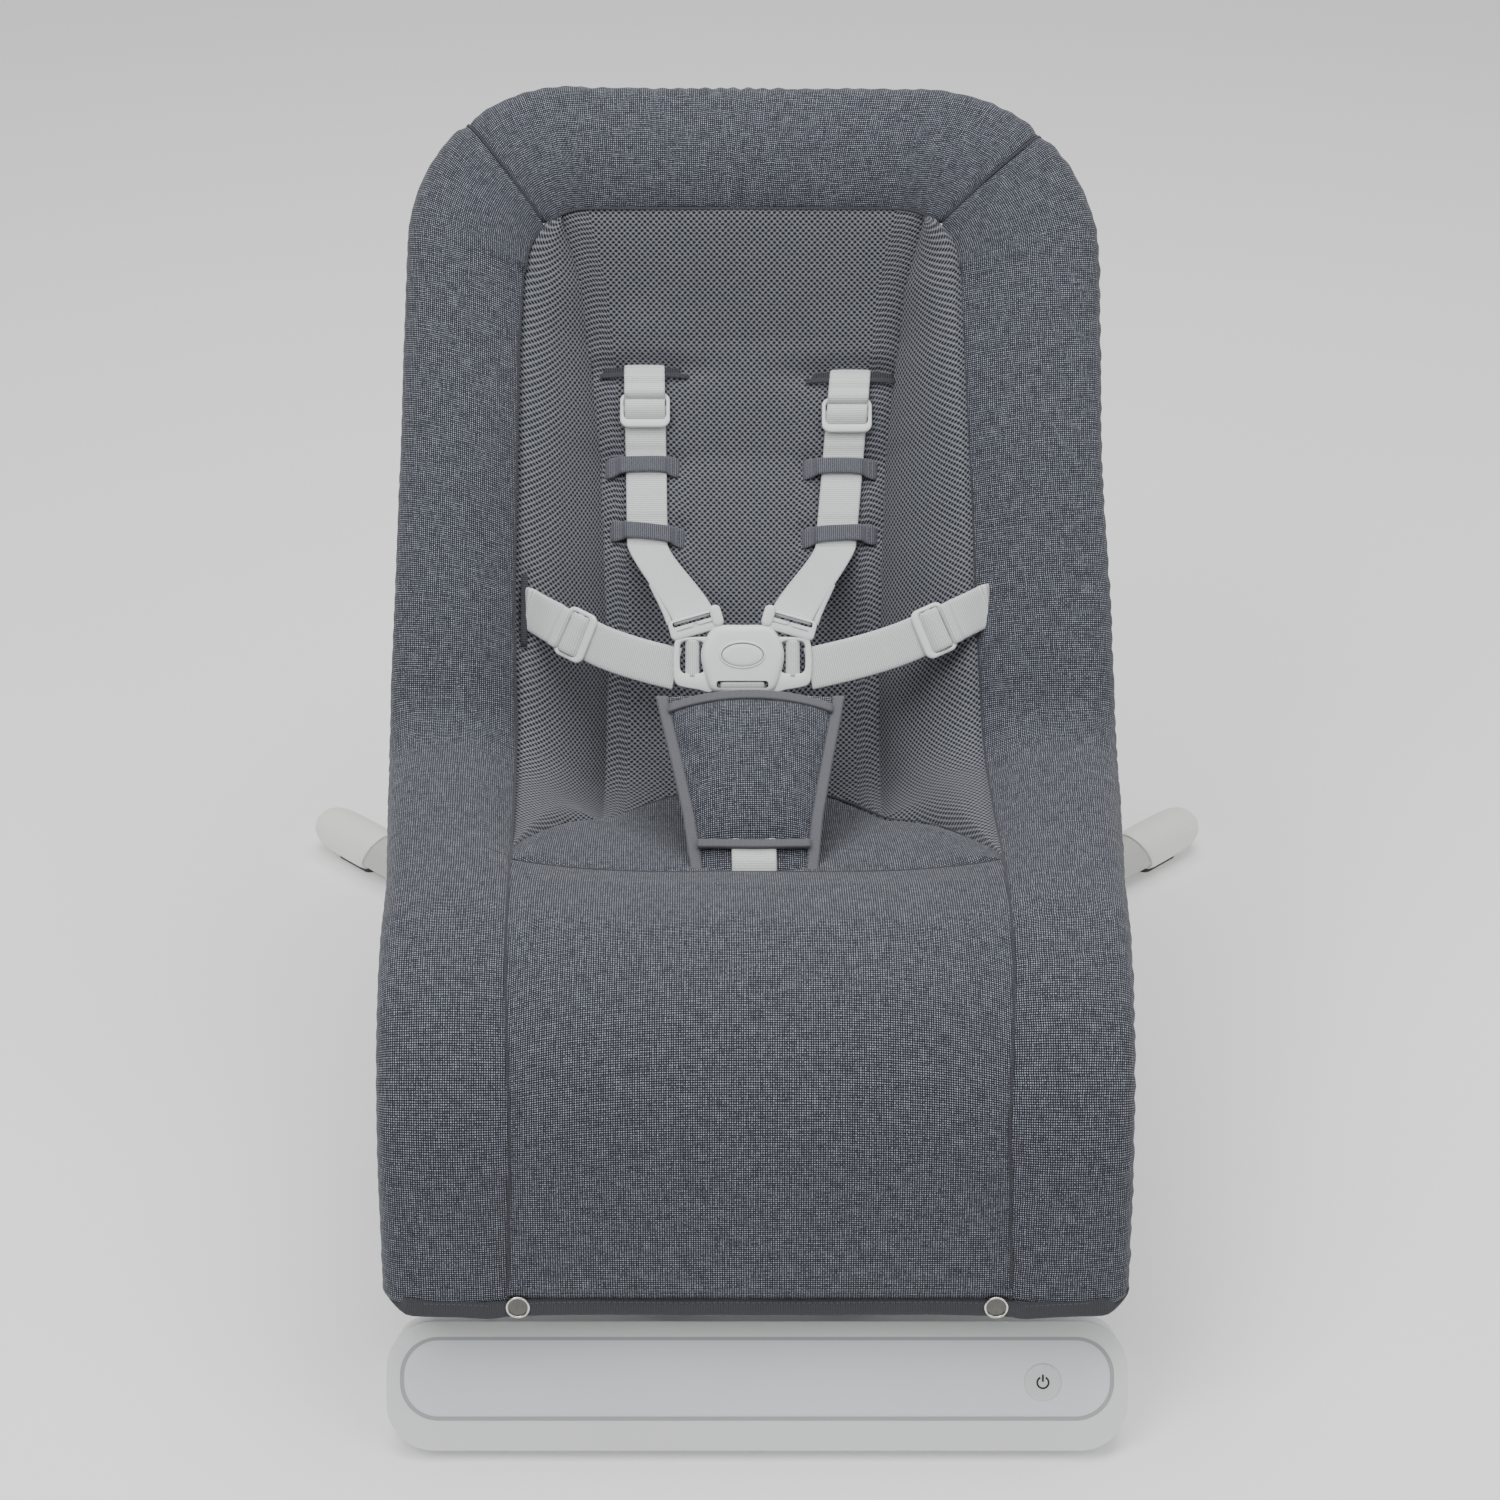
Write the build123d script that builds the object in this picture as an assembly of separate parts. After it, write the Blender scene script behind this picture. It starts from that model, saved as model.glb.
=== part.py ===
from build123d import *

import os
from math import atan2, cos, degrees, hypot, radians, sin, tan

# Electric baby swing: a padded seat with a five-point harness sways from side to side on a low base.
# Frame: +Y runs from the control housing to the head end, +Z up, +X to the right of someone facing
# the seat, who also names left and right. The origin is on the floor under the middle of the whole.
# A run is a distance back from the housing's nose. Millimetres and degrees.

# ---- stance and clearances ----
stance_length = 653.0          # housing nose to rear foot tips
clear = 0.3                    # gap between pieces that only sit beside each other
slip = 0.1                     # radial gap of a tube or insert in its socket
running = 0.05                 # radial gap of a pin, shaft or button in its bore

# ---- control housing ----
housing_width = 407.0
housing_depth = 96.0           # toe curve to heel corner, at the floor
housing_base = 2.0             # underside above the floor, on pads
ridge_height = 70.0            # before its edge is rounded
face_tilt = 30.0               # the control face leans back from upright
nose_radius, ridge_radius, heel_radius = 11.0, 4.0, 12.0
housing_corner = 26.0          # corner radius seen square to the control face
housing_wall = 2.5
split_depth = 24.0             # joint of the two shells, behind the control face
panel_margin, panel_height, panel_corner = 9.5, 42.0, 19.0
panel_thickness, panel_inset, panel_backing, backing_lip = 1.4, 0.6, 2.0, 2.0
panel_rise = 27.5              # panel middle above the end of the nose curve, up the face
trim_width = 2.0
button_margin, button_drop, button_radius = 37.0, 2.0, 10.3    # margin from the panel's end
button_height = 3.4
board_size, board_depth, board_offset = (84.0, 24.0, 1.6), 12.0, 16.0
speaker_radius, speaker_depth = 15.0, 8.0
screw_inner_x, screw_margin, screw_line = 45.0, 23.5, 42.0     # line ahead of the heel
screw_radius, screw_head, screw_sink, boss_radius, boss_height = 1.5, 3.0, 1.0, 4.5, 12.0
pad_length, pad_width, pad_corner = 26.0, 10.0, 4.0
pad_margins = (33.5, 53.5)     # front and rear pads, from the housing's sides
cell_radius, cell_length, cell_count = 7.2, 50.5, 2
door_margin, door_drop, door_thickness = 21.5, 3.5, 2.4
door_width, door_height, door_corner = 108.0, 42.0, 4.0
door_ledge, ledge_thickness = 3.0, 1.5
contact_thickness = 0.8
inlet_margin, inlet_drop, inlet_radius, inlet_length = 53.5, 4.0, 5.5, 12.0

# ---- base arms and hub; the swing axis leans forward by the slope of the arms ----
lean = 10.0
hub_run, hub_z = 440.0, 100.0  # point on the swing axis inside the hub
arm_x, arm_radius, arm_wall = 51.4, 16.0, 1.5
arm_drop = 8.0                 # arm axis below that point, square to the arms
arm_floor = 3.0                # closed front end of the arm's socket
arm_grip, arm_back = 38.1, -30.0       # arm inside the housing's heel; rear end from the swing axis
hub_half, hub_corner, hub_edge = 73.0, 36.0, 5.0
hub_front, hub_back = -76.0, 54.0
hub_bottom, hub_top, hub_wall = -48.0, 30.0, 3.0
hub_screws_at = ((24.0, -62.0), (50.0, 30.0))
post_radius, collar_radius, collar_height = 10.0, 13.0, 5.0
bearing_radius, bearing_height, bearing_wall = 15.0, 12.0, 4.0
lower_bearing_z, upper_bearing_z = -30.0, 8.0
nut_radius, nut_height = 12.5, 6.0
magnet_reach, magnet_radius, magnet_height = 33.0, 7.0, 4.0
magnet_arm_half, magnet_arm_thickness = 12.0, 6.0
coil_radius, coil_height = 14.0, 10.0
swing_limit = 8.5              # each way, where the magnet arm meets the bumpers
bumper_length, bumper_depth = 10.0, 8.0
cable_radius, cable_play, cable_bend = 2.0, 1.0, 6.0
cable_corner_y, cable_corner_z = 63.0, 28.0    # its bend in the housing: ahead of the heel, above the floor

# ---- rear legs ----
leg_angle = 45.9               # from straight back, seen from above
leg_pivot_x, leg_pivot_run, leg_root_z = 92.0, 446.0, 78.0
knuckle_radius, knuckle_height, lug_thickness = 17.0, 32.0, 6.0
leg_radius, leg_wall = 14.0, 1.5
leg_bend_reach, leg_bend_radius = 150.0, 120.0
sole_thickness = 2.0
cap_radius, cap_length, cap_round = 16.0, 60.0, 8.0
leg_pin_radius = 4.0

# ---- seat frame ----
tube_radius, tube_wall = 11.0, 1.2
back_half, front_half = 192.0, 187.0   # side tubes from the centre plane
back_angle, back_length = 50.0, 395.0  # bend corner to top cross tube
bend_run, bend_z, bend_radius = 332.0, 257.0, 70.0
knee_run, knee_z, knee_radius = 44.0, 262.0, 105.0
hem_run, hem_z = 23.0, 110.0           # front cross tube
top_corner, hem_corner = 88.0, 40.0
joint_ahead, joint_length, spigot_length = 58.0, 24.0, 12.0    # joint ahead of the bend corner
recline_ahead, recline_drop, recline_pin_radius = 36.0, 40.0, 5.0     # pin from the bend corner
joint_lug, joint_lug_radius = 8.0, 17.0

# ---- cradle ----
cradle_radius, cradle_wall, cradle_bend = 12.5, 1.5, 45.0
cradle_rise = 66.0             # tube axis above the hub point, along the swing axis
cradle_corner_x = 122.0
eye_radius, eye_thickness, eye_socket = 17.0, 12.0, 34.0
saddle_half, saddle_depth, saddle_top = 38.0, 44.0, 17.0

# ---- seat cover ----
sleeve = 6.0                   # padded cover outside the tube
band_inner = 143.0             # inner seam of the rim from the centre plane
top_band = 76.0                # outer edge to inner seam at the head end
side_end = 102.0               # side panels stop this far below the top cross tube
cover_thickness = 5.4
inner_shift = -8.5             # the padded insert and the harness sit to one side
crotch_ahead, crotch_sink = 119.0, 14.0        # crotch seam ahead of the bend corner, below its height
low_behind, low_sink, low_radius = 42.0, 51.0, 70.0    # lowest point behind and below the bend corner
lumbar_up, lumbar_sink, lumbar_radius = 199.8, 45.2, 300.0      # up the back, and behind its line
insert_end, insert_sink = 58.0, 7.7    # insert's top, down from the top cross tube and behind its line
insert_half_top, insert_half_mid, insert_half_low = 112.0, 92.0, 82.0
pad_thickness = 14.0
hem_drop, binding_height, binding_depth = 10.0, 6.0, 10.0
snap_radius, snap_x = 6.5, 131.0

# ---- harness ----
web_width, web_thickness = 25.0, 1.6
strap_lift = 5.0               # shoulder straps in front of the padded insert
shoulder_x = 61.0
shoulder_stations = (99.0, 125.0, 160.0, 200.0)    # slot, adjuster, keepers, from the insert's top
buckle_behind, buckle_rise, buckle_angle = 4.0, 62.0, 58.0      # from the bend corner
buckle_width, buckle_height, buckle_depth = 46.0, 39.0, 13.0
buckle_web_drop = 16.6         # the crotch strap's slot, below the buckle's middle
release_width, release_height, release_depth, release_travel = 24.2, 13.4, 5.0, 1.5
release_rise = 0.6             # its middle above the buckle's middle
tongue_width, tongue_length, tongue_thickness, tongue_grip = 18.0, 22.0, 4.0, 7.0
connector_width, connector_height, connector_thickness = 27.0, 11.0, 4.0
waist_slot_x, waist_slot_behind = 135.0, 44.0          # front of the slot, level with the buckle
adjuster_width, adjuster_length, adjuster_depth = 30.0, 22.0, 6.0
keeper_width, keeper_length, keeper_depth = 42.0, 9.0, 6.0
pad_top_half, pad_top_ahead, pad_top_rise = 53.0, 17.0, 46.0    # at the buckle, from the bend corner
pad_low_half, pad_low_behind, pad_low_rise = 34.0, 9.0, 11.0    # at the seat, from the crotch seam
crotch_pad_thickness = 8.0

half_length = stance_length / 2
hub_y, leg_pivot_y = hub_run - half_length, leg_pivot_run - half_length
bend_y, knee_y, hem_y = bend_run - half_length, knee_run - half_length, hem_run - half_length
joint_y = bend_y - joint_ahead
recline_y, recline_z = bend_y - recline_ahead, bend_z - recline_drop
crotch_y, crotch_z = bend_y - crotch_ahead, bend_z - crotch_sink
low_y, low_z = bend_y + low_behind, bend_z - low_sink
buckle_y, buckle_z = bend_y + buckle_behind, bend_z + buckle_rise
panel_width = housing_width - 2 * panel_margin
button_x = panel_width / 2 - button_margin
housing_screw_x = (screw_inner_x, housing_width / 2 - screw_margin)
door_x = -(housing_width / 2 - door_margin - door_width / 2)
inlet_x = housing_width / 2 - inlet_margin


# ---- helpers ----
def tube_along(path, outer, inner):
    """Round tube along a path of tangent lines and arcs."""
    section = Plane(origin=path @ 0, z_dir=path % 0)
    return sweep(section * (Circle(outer) - Circle(inner)), path=path)


def rod(radius, start, end):
    """Plain cylinder between two points."""
    axis = Vector(*end) - Vector(*start)
    return extrude(Plane(origin=start, z_dir=axis) * Circle(radius), axis.length)


def slab(plane, width, height, low, high, x=0.0, y=0.0, corner=0.0):
    """Plate on a plane, from low to high along its normal."""
    outline = RectangleRounded(width, height, corner) if corner else Rectangle(width, height)
    return extrude(plane * (Pos(x, y, low) * outline), high - low)


def disc(plane, radius, low, high, x=0.0, y=0.0):
    """Cylinder standing on a plane, from low to high along its normal."""
    return extrude(plane * (Pos(x, y, low) * Circle(radius)), high - low)


def skin(loops):
    """Closed solid through matching flat loops of points."""
    count = len(loops[0])
    corners = [[Vector(*point) for point in loop] for loop in loops]
    faces = [Face(Wire.make_polygon(corners[end], close=True)) for end in (0, -1)]
    for near, far in zip(corners, corners[1:]):
        for i in range(count):
            j = (i + 1) % count
            faces.append(Face(Wire.make_polygon([near[i], near[j], far[j]], close=True)))
            faces.append(Face(Wire.make_polygon([near[i], far[j], far[i]], close=True)))
    return Solid(Shell(faces))


def ribbon(points, across, width, thickness):
    """Flat strap through points, its width along across."""
    loops = []
    side = Vector(*across).normalized()
    for i, point in enumerate(points):
        along = Vector(*points[min(i + 1, len(points) - 1)]) - Vector(*points[max(i - 1, 0)])
        up = along.normalized().cross(side).normalized() * (thickness / 2)
        edge = side * (width / 2)
        middle = Vector(*point)
        loops.append([tuple(middle + edge + up), tuple(middle - edge + up),
                      tuple(middle - edge - up), tuple(middle + edge - up)])
    return skin(loops)


def mirrored(shape):
    """Same piece on the other side of the centre plane."""
    return mirror(shape, about=Plane.YZ)


def both_sides(shape):
    """A piece and its mirror image, kept as separate solids."""
    return Compound(children=[shape, mirrored(shape)])


def stations(path, arc_step=16.0):
    """Points and normals (y, z) along a path in the centre plane: line ends, and steps on arcs."""
    found = []
    for edge in path.edges():
        steps = 1 if edge.geom_type == GeomType.LINE else int(edge.length / arc_step) + 1
        for i in range(steps):
            found.append((edge @ (i / steps), edge % (i / steps)))
    found.append((path @ 1, path % 1))
    return [((p.Y, p.Z), (-t.Z, t.Y)) for p, t in found]


def at_fraction(path, fraction, lift=0.0):
    """Point (y, z) and normal (y, z) at a share of a centre-plane path, lifted along the normal."""
    p, t = path @ fraction, path % fraction
    return (p.Y - lift * t.Z, p.Z + lift * t.Y), (-t.Z, t.Y)


# ---- reference planes ----
face_up = (sin(radians(face_tilt)), cos(radians(face_tilt)))         # (y, z) up the control face
face_out = (-face_up[1], face_up[0])
nose_y, nose_z = -half_length + nose_radius, housing_base + nose_radius
toe_y = nose_y - nose_radius / tan(radians(90 - face_tilt) / 2)
ridge_y = toe_y + (ridge_height - housing_base) * tan(radians(face_tilt))
heel_y = -half_length + housing_depth
panel_y = nose_y + nose_radius * face_out[0] + panel_rise * face_up[0]
panel_z = nose_z + nose_radius * face_out[1] + panel_rise * face_up[1]
face_plane = Plane(origin=(0, panel_y, panel_z), x_dir=(1, 0, 0), z_dir=(0, *face_out))
slope_length = hypot(heel_y - ridge_y, ridge_height - housing_base)
slope_out = ((ridge_height - housing_base) / slope_length, (heel_y - ridge_y) / slope_length)
slope_plane = Plane(                                        # rear slope; its x runs towards -X
    origin=(0, (ridge_y + heel_y) / 2, (ridge_height + housing_base) / 2),
    x_dir=(-1, 0, 0), z_dir=(0, *slope_out))
hub_plane = Plane(
    origin=(0, hub_y, hub_z), x_dir=(1, 0, 0),
    z_dir=(0, -sin(radians(lean)), cos(radians(lean))))
back_dir = (cos(radians(back_angle)), sin(radians(back_angle)))
top_y, top_z = bend_y + back_length * back_dir[0], bend_z + back_length * back_dir[1]
back_out = (-back_dir[1], back_dir[0])
top_plane = Plane(                                          # head end of the seat; y runs up the back
    origin=(0, top_y, top_z), x_dir=(1, 0, 0), z_dir=(0, -back_dir[1], back_dir[0]))
drop_length = hypot(knee_y - hem_y, knee_z - hem_z)
drop_up = ((knee_y - hem_y) / drop_length, (knee_z - hem_z) / drop_length)
drop_out = (-drop_up[1], drop_up[0])
hem_plane = Plane(                                          # front cross tube; y runs up the drop
    origin=(0, hem_y, hem_z), x_dir=(1, 0, 0), z_dir=(0, *drop_out))
buckle_plane = Plane(
    origin=(inner_shift, buckle_y, buckle_z), x_dir=(1, 0, 0),
    z_dir=(0, -sin(radians(buckle_angle)), cos(radians(buckle_angle))))


def on_hub(x, y, z):
    """World point from the swing axis frame."""
    return tuple(hub_plane.from_local_coords(Vector(x, y, z)))


def up_back(distance, sink):
    """Point (y, z) a distance up the back from the bend corner, and sunk behind the back's line."""
    return (bend_y + distance * back_dir[0] - sink * back_out[0],
            bend_z + distance * back_dir[1] - sink * back_out[1])


arm_front = (heel_y - arm_grip - hub_y) / cos(radians(lean))       # arm's front end from the swing axis
lumbar_y, lumbar_z = up_back(lumbar_up, lumbar_sink)
insert_top_y, insert_top_z = up_back(back_length - insert_end, insert_sink)


# ---- control housing ----
def housing_block(inset):
    """The housing's whole form, with every face moved in by inset."""
    profile = make_face(Polyline(
        (toe_y, housing_base), (ridge_y, ridge_height), (heel_y, housing_base), close=True))
    for corner, radius in (((toe_y, housing_base), nose_radius), ((heel_y, housing_base), heel_radius),
                           ((ridge_y, ridge_height), ridge_radius)):
        profile = fillet(profile.vertices().sort_by_distance(corner)[0], radius)
    profile = offset(profile, -inset) if inset else profile
    bar = extrude(Plane.YZ * profile, housing_width / 2 - inset, both=True)
    bottom = face_plane.to_local_coords(Vector(0, nose_y, nose_z)).Y - nose_radius
    top = face_plane.to_local_coords(Vector(0, ridge_y + ridge_radius, bar.bounding_box().max.Z)).Y
    outline = Pos(0, (top + bottom) / 2) * RectangleRounded(
        housing_width - 2 * inset, top - bottom - inset, housing_corner - inset)
    return bar & extrude(face_plane * outline, 3 * housing_depth, both=True)


block = housing_block(0)
shell = block - housing_block(housing_wall)
front_zone = slab(face_plane, 2 * housing_width, 2 * housing_depth, -split_depth, split_depth)

recess_width, recess_height = panel_width + 2 * trim_width, panel_height + 2 * trim_width
recess_corner = panel_corner + trim_width
recess_floor = -(panel_thickness + panel_inset)
button_y = -button_drop
backing = slab(face_plane, recess_width + 2 * backing_lip, recess_height + 2 * backing_lip,
               recess_floor - panel_backing, recess_floor, corner=recess_corner)
recess = slab(face_plane, recess_width, recess_height, recess_floor, housing_depth, corner=recess_corner)
button_bore = disc(face_plane, button_radius + running, -split_depth, split_depth, button_x, button_y)
housing_front_shell = (shell & front_zone) + (backing & block) - recess - button_bore

panel_blank = slab(face_plane, panel_width - 2 * running, panel_height - 2 * running, recess_floor,
                   -panel_inset, corner=panel_corner - running)
control_panel = panel_blank - button_bore
ring_blank = slab(face_plane, recess_width, recess_height, recess_floor, -panel_inset / 2,
                  corner=recess_corner)
panel_trim_ring = ring_blank - slab(face_plane, panel_width, panel_height, -split_depth, split_depth,
                                    corner=panel_corner)
power_button = disc(face_plane, button_radius, -button_height, 0, button_x, button_y)

control_board = slab(face_plane, board_size[0], board_size[1], -board_depth - board_size[2],
                     -board_depth, x=button_x - board_offset)
speaker = disc(face_plane, speaker_radius, recess_floor - panel_backing - speaker_depth,
               recess_floor - panel_backing - clear)

# arm sockets inside the rear shell, closed at the front but for the cable
arm_line = Plane(origin=on_hub(0, 0, -arm_drop), x_dir=(1, 0, 0), z_dir=hub_plane.y_dir)
sockets = Compound(children=[
    disc(arm_line, arm_radius + slip + housing_wall, arm_front - arm_floor, 0, side * arm_x)
    for side in (-1, 1)]) & block
socket_bores = [disc(arm_line, arm_radius + slip, arm_front, 0, side * arm_x) for side in (-1, 1)]
cable_hole = disc(arm_line, cable_radius + cable_play, 2 * arm_front, 0, arm_x)
door_cut = slab(slope_plane, door_width, door_height, -housing_wall, housing_wall, -door_x, -door_drop,
                door_corner)
ledge = slab(slope_plane, door_width + 2 * door_ledge, door_height + 2 * door_ledge,
             -housing_wall - ledge_thickness, -housing_wall, -door_x, -door_drop, door_corner + 1)
ledge_hole = slab(slope_plane, door_width - 2 * door_ledge, door_height - 2 * door_ledge,
                  -split_depth, 0, -door_x, -door_drop, door_corner / 2)
inlet_bore = disc(slope_plane, inlet_radius + running, -inlet_length, inlet_length, -inlet_x, -inlet_drop)
screw_y = heel_y - screw_line
screw_places = [(side * x, screw_y) for side in (-1, 1) for x in housing_screw_x]
housing_rear_shell = (shell - front_zone) + sockets + ledge - door_cut - ledge_hole - inlet_bore
for bore in socket_bores:
    housing_rear_shell -= bore
housing_rear_shell -= cable_hole
floor_plane = Plane.XY.offset(housing_base)
screws = []
for x, y in screw_places:
    housing_rear_shell += disc(floor_plane, boss_radius, 0, boss_height, x, y)
    housing_rear_shell -= disc(floor_plane, screw_radius, 0, boss_height - 2, x, y)
    housing_rear_shell -= disc(floor_plane, screw_head + slip, 0, screw_sink + 1, x, y)
    screws.append(disc(floor_plane, screw_head, screw_sink / 2, screw_sink + 1, x, y)
                  + disc(floor_plane, screw_radius, screw_sink, boss_height - 3, x, y))

battery_door = slab(slope_plane, door_width - 2 * clear, door_height - 2 * clear,
                    -door_thickness, 0, -door_x, -door_drop, door_corner - clear)
cells, contacts = [], []
cell_depth = housing_wall + ledge_thickness + clear + cell_radius
cell_pitch = cell_length + clear
for row in (-1, 1):
    for i in range(cell_count):
        start = (i - cell_count / 2) * cell_pitch + clear / 2
        line = Plane(origin=slope_plane.from_local_coords(
            Vector(-door_x + start, -door_drop + row * (cell_radius + clear), -cell_depth)),
            z_dir=slope_plane.x_dir)
        cells.append(disc(line, cell_radius, 0, cell_length))
for end in (-1, 1):
    contacts.append(slab(slope_plane, contact_thickness, 3.4 * cell_radius, -cell_depth - cell_radius * 0.7,
                         -cell_depth + cell_radius * 0.7,
                         -door_x + end * (cell_count * cell_pitch / 2 + contact_thickness),
                         -door_drop))
power_inlet = disc(slope_plane, inlet_radius, -inlet_length, 0.6, -inlet_x, -inlet_drop) \
    - disc(slope_plane, inlet_radius / 2, -inlet_length + 3, 1, -inlet_x, -inlet_drop)
pad_places = ((housing_width / 2 - pad_margins[0], nose_y + pad_width / 2 + 1),
              (housing_width / 2 - pad_margins[1], screw_y + boss_radius / 2))
foot_pads = [slab(Plane.XY, pad_length, pad_width, 0, housing_base, side * x, y, pad_corner)
             for side in (-1, 1) for x, y in pad_places]

# ---- base arms ----
base_arm_right = disc(arm_line, arm_radius, arm_front, arm_back, arm_x) \
    - disc(arm_line, arm_radius - arm_wall, arm_front, arm_back, arm_x)

# ---- swing hub ----
def hub_form(inset):
    """Whole hub, with every face moved in by inset."""
    form = slab(hub_plane, 2 * (hub_half - inset), hub_back - hub_front - 2 * inset,
                hub_bottom + inset, hub_top - inset, 0, (hub_front + hub_back) / 2, hub_corner - inset)
    level = form.faces().sort_by(lambda face: hub_plane.to_local_coords(face.center()).Z)
    return fillet(level[0].edges() + level[-1].edges(), hub_edge - inset)


def hub_disc(radius, low, high, x=0.0, y=0.0):
    """Round feature square to the hub."""
    return disc(hub_plane, radius, low, high, x, y)


hub_shell = hub_form(0) - hub_form(hub_wall)
hub_split = -arm_drop
lower_zone = slab(hub_plane, 4 * hub_half, 4 * hub_half, 2 * hub_bottom, hub_split)
arm_holes = [disc(arm_line, arm_radius + slip, arm_front, arm_back + 1, side * arm_x) for side in (-1, 1)]
floor_z, roof_z = hub_bottom + hub_wall, hub_top - hub_wall
seat_radius = bearing_radius + bearing_wall
lower_top = lower_bearing_z + bearing_height
bumper_x = magnet_reach * 1.2 * sin(radians(swing_limit + 1)) + magnet_arm_half
bumper_y = magnet_reach * 1.2
coil_low = hub_split - magnet_height - coil_height - 2.0
coil_y = magnet_reach + 1.0

hub_lower_shell = (hub_shell & lower_zone) + hub_disc(seat_radius, floor_z, lower_top)
hub_lower_shell -= hub_disc(bearing_radius, lower_bearing_z, lower_top)
hub_lower_shell -= hub_disc(nut_radius + 1, floor_z, lower_bearing_z)
hub_lower_shell += hub_disc(coil_radius - 4, floor_z, coil_low, 0, coil_y) \
    - hub_disc(seat_radius - 1, floor_z, coil_low)
hub_upper_shell = (hub_shell - lower_zone) + hub_disc(seat_radius, upper_bearing_z, roof_z)
hub_upper_shell -= hub_disc(bearing_radius, upper_bearing_z, upper_bearing_z + bearing_height)
hub_upper_shell -= hub_disc(collar_radius + 1, upper_bearing_z + bearing_height, hub_top)
for side in (-1, 1):
    pedestal = slab(hub_plane, bumper_depth, bumper_length, floor_z, hub_split,
                    side * (bumper_x + bumper_depth / 2), bumper_y)
    hub_lower_shell += pedestal
    for x, y in hub_screws_at:
        hub_lower_shell += hub_disc(boss_radius, floor_z, hub_split, side * x, y)
        hub_lower_shell -= hub_disc(screw_radius, hub_bottom, hub_split, side * x, y)
        hub_lower_shell -= hub_disc(screw_head + slip, hub_bottom, hub_bottom + screw_sink + 1,
                                    side * x, y)
        hub_upper_shell += hub_disc(boss_radius, hub_split, roof_z, side * x, y)
        hub_upper_shell -= hub_disc(screw_radius, hub_split, hub_split + 10, side * x, y)
        screws.append(hub_disc(screw_head, hub_bottom + screw_sink / 2, hub_bottom + screw_sink + 1,
                               side * x, y)
                      + hub_disc(screw_radius, hub_bottom + screw_sink, hub_split + 8, side * x, y))
for hole in arm_holes:
    hub_lower_shell -= hole
    hub_upper_shell -= hole

# hinge lugs for the rear legs, above and below each knuckle, moulded on the lower shell's sides
lug_low = leg_root_z - knuckle_height / 2 - clear - lug_thickness
lug_high = leg_root_z + knuckle_height / 2 + clear
lug_arm = leg_pivot_x - hub_half + hub_wall
for side in (-1, 1):
    for z in (lug_low, lug_high):
        lug = disc(Plane.XY, knuckle_radius - 2, z, z + lug_thickness, side * leg_pivot_x, leg_pivot_y) \
            + slab(Plane.XY, lug_arm, 24, z, z + lug_thickness,
                   side * (leg_pivot_x - lug_arm / 2), leg_pivot_y)
        lug -= disc(Plane.XY, leg_pin_radius, z, z + lug_thickness, side * leg_pivot_x, leg_pivot_y)
        if z == lug_low:
            hub_lower_shell += lug - hub_form(hub_wall)
        else:
            hub_lower_shell -= lug
            hub_upper_shell += lug - hub_form(hub_wall)
leg_pin = disc(Plane.XY, leg_pin_radius, lug_low, lug_high + lug_thickness + 1, leg_pivot_x, leg_pivot_y) \
    + disc(Plane.XY, leg_pin_radius + 3, lug_low - 2, lug_low, leg_pivot_x, leg_pivot_y)
leg_hinge_pins = both_sides(leg_pin)

bearings = []
for z in (lower_bearing_z, upper_bearing_z):
    bearings.append(hub_disc(bearing_radius, z, z + bearing_height)
                    - hub_disc(post_radius + running, z, z + bearing_height))
drive_coil = hub_disc(coil_radius, coil_low, coil_low + coil_height, 0, coil_y) \
    - hub_disc(coil_radius / 3, coil_low, coil_low + coil_height, 0, coil_y)
travel_bumpers = both_sides(slab(hub_plane, bumper_depth, bumper_length, hub_split, hub_split + 12,
                                 bumper_x + bumper_depth / 2, bumper_y))
cable_route = FilletPolyline(
    (button_x - 62, panel_y + 12, panel_z - 6), (arm_x + 16, heel_y - cable_corner_y, cable_corner_z),
    on_hub(arm_x, arm_front - 12, -arm_drop),
    on_hub(arm_x, arm_back + 8, -arm_drop), on_hub(arm_x - 8, 22, -arm_drop - 6),
    on_hub(coil_radius + 6, magnet_reach - 4, coil_low + 4), radius=cable_bend)
drive_cable = sweep(Plane(origin=cable_route @ 0, z_dir=cable_route % 0) * Circle(cable_radius),
                    path=cable_route)

# ---- swing post and drive ----
post_top = cradle_rise - cradle_radius
collar_z = upper_bearing_z + bearing_height + slip
swing_post = hub_disc(post_radius, lower_bearing_z - nut_height - 2, post_top) \
    + hub_disc(collar_radius, collar_z, collar_z + collar_height)
post_nut = extrude(hub_plane * (Pos(0, 0, lower_bearing_z - nut_height - 1)
                                * RegularPolygon(nut_radius, 6)), nut_height) \
    - hub_disc(post_radius, hub_bottom, 0)
magnet_low = hub_split + 2.0
magnet_arm = hub_disc(post_radius + 5, magnet_low, magnet_low + magnet_arm_thickness) \
    + slab(hub_plane, 2 * magnet_arm_half, bumper_y + 2, magnet_low, magnet_low + magnet_arm_thickness,
           0, (bumper_y + 2) / 2, 3) \
    - hub_disc(post_radius, hub_bottom, hub_top)
drive_magnets = Compound(children=[
    hub_disc(magnet_radius * 0.7, magnet_low - magnet_height, magnet_low,
             side * magnet_radius * 0.8, magnet_reach) for side in (-1, 1)])

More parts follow.
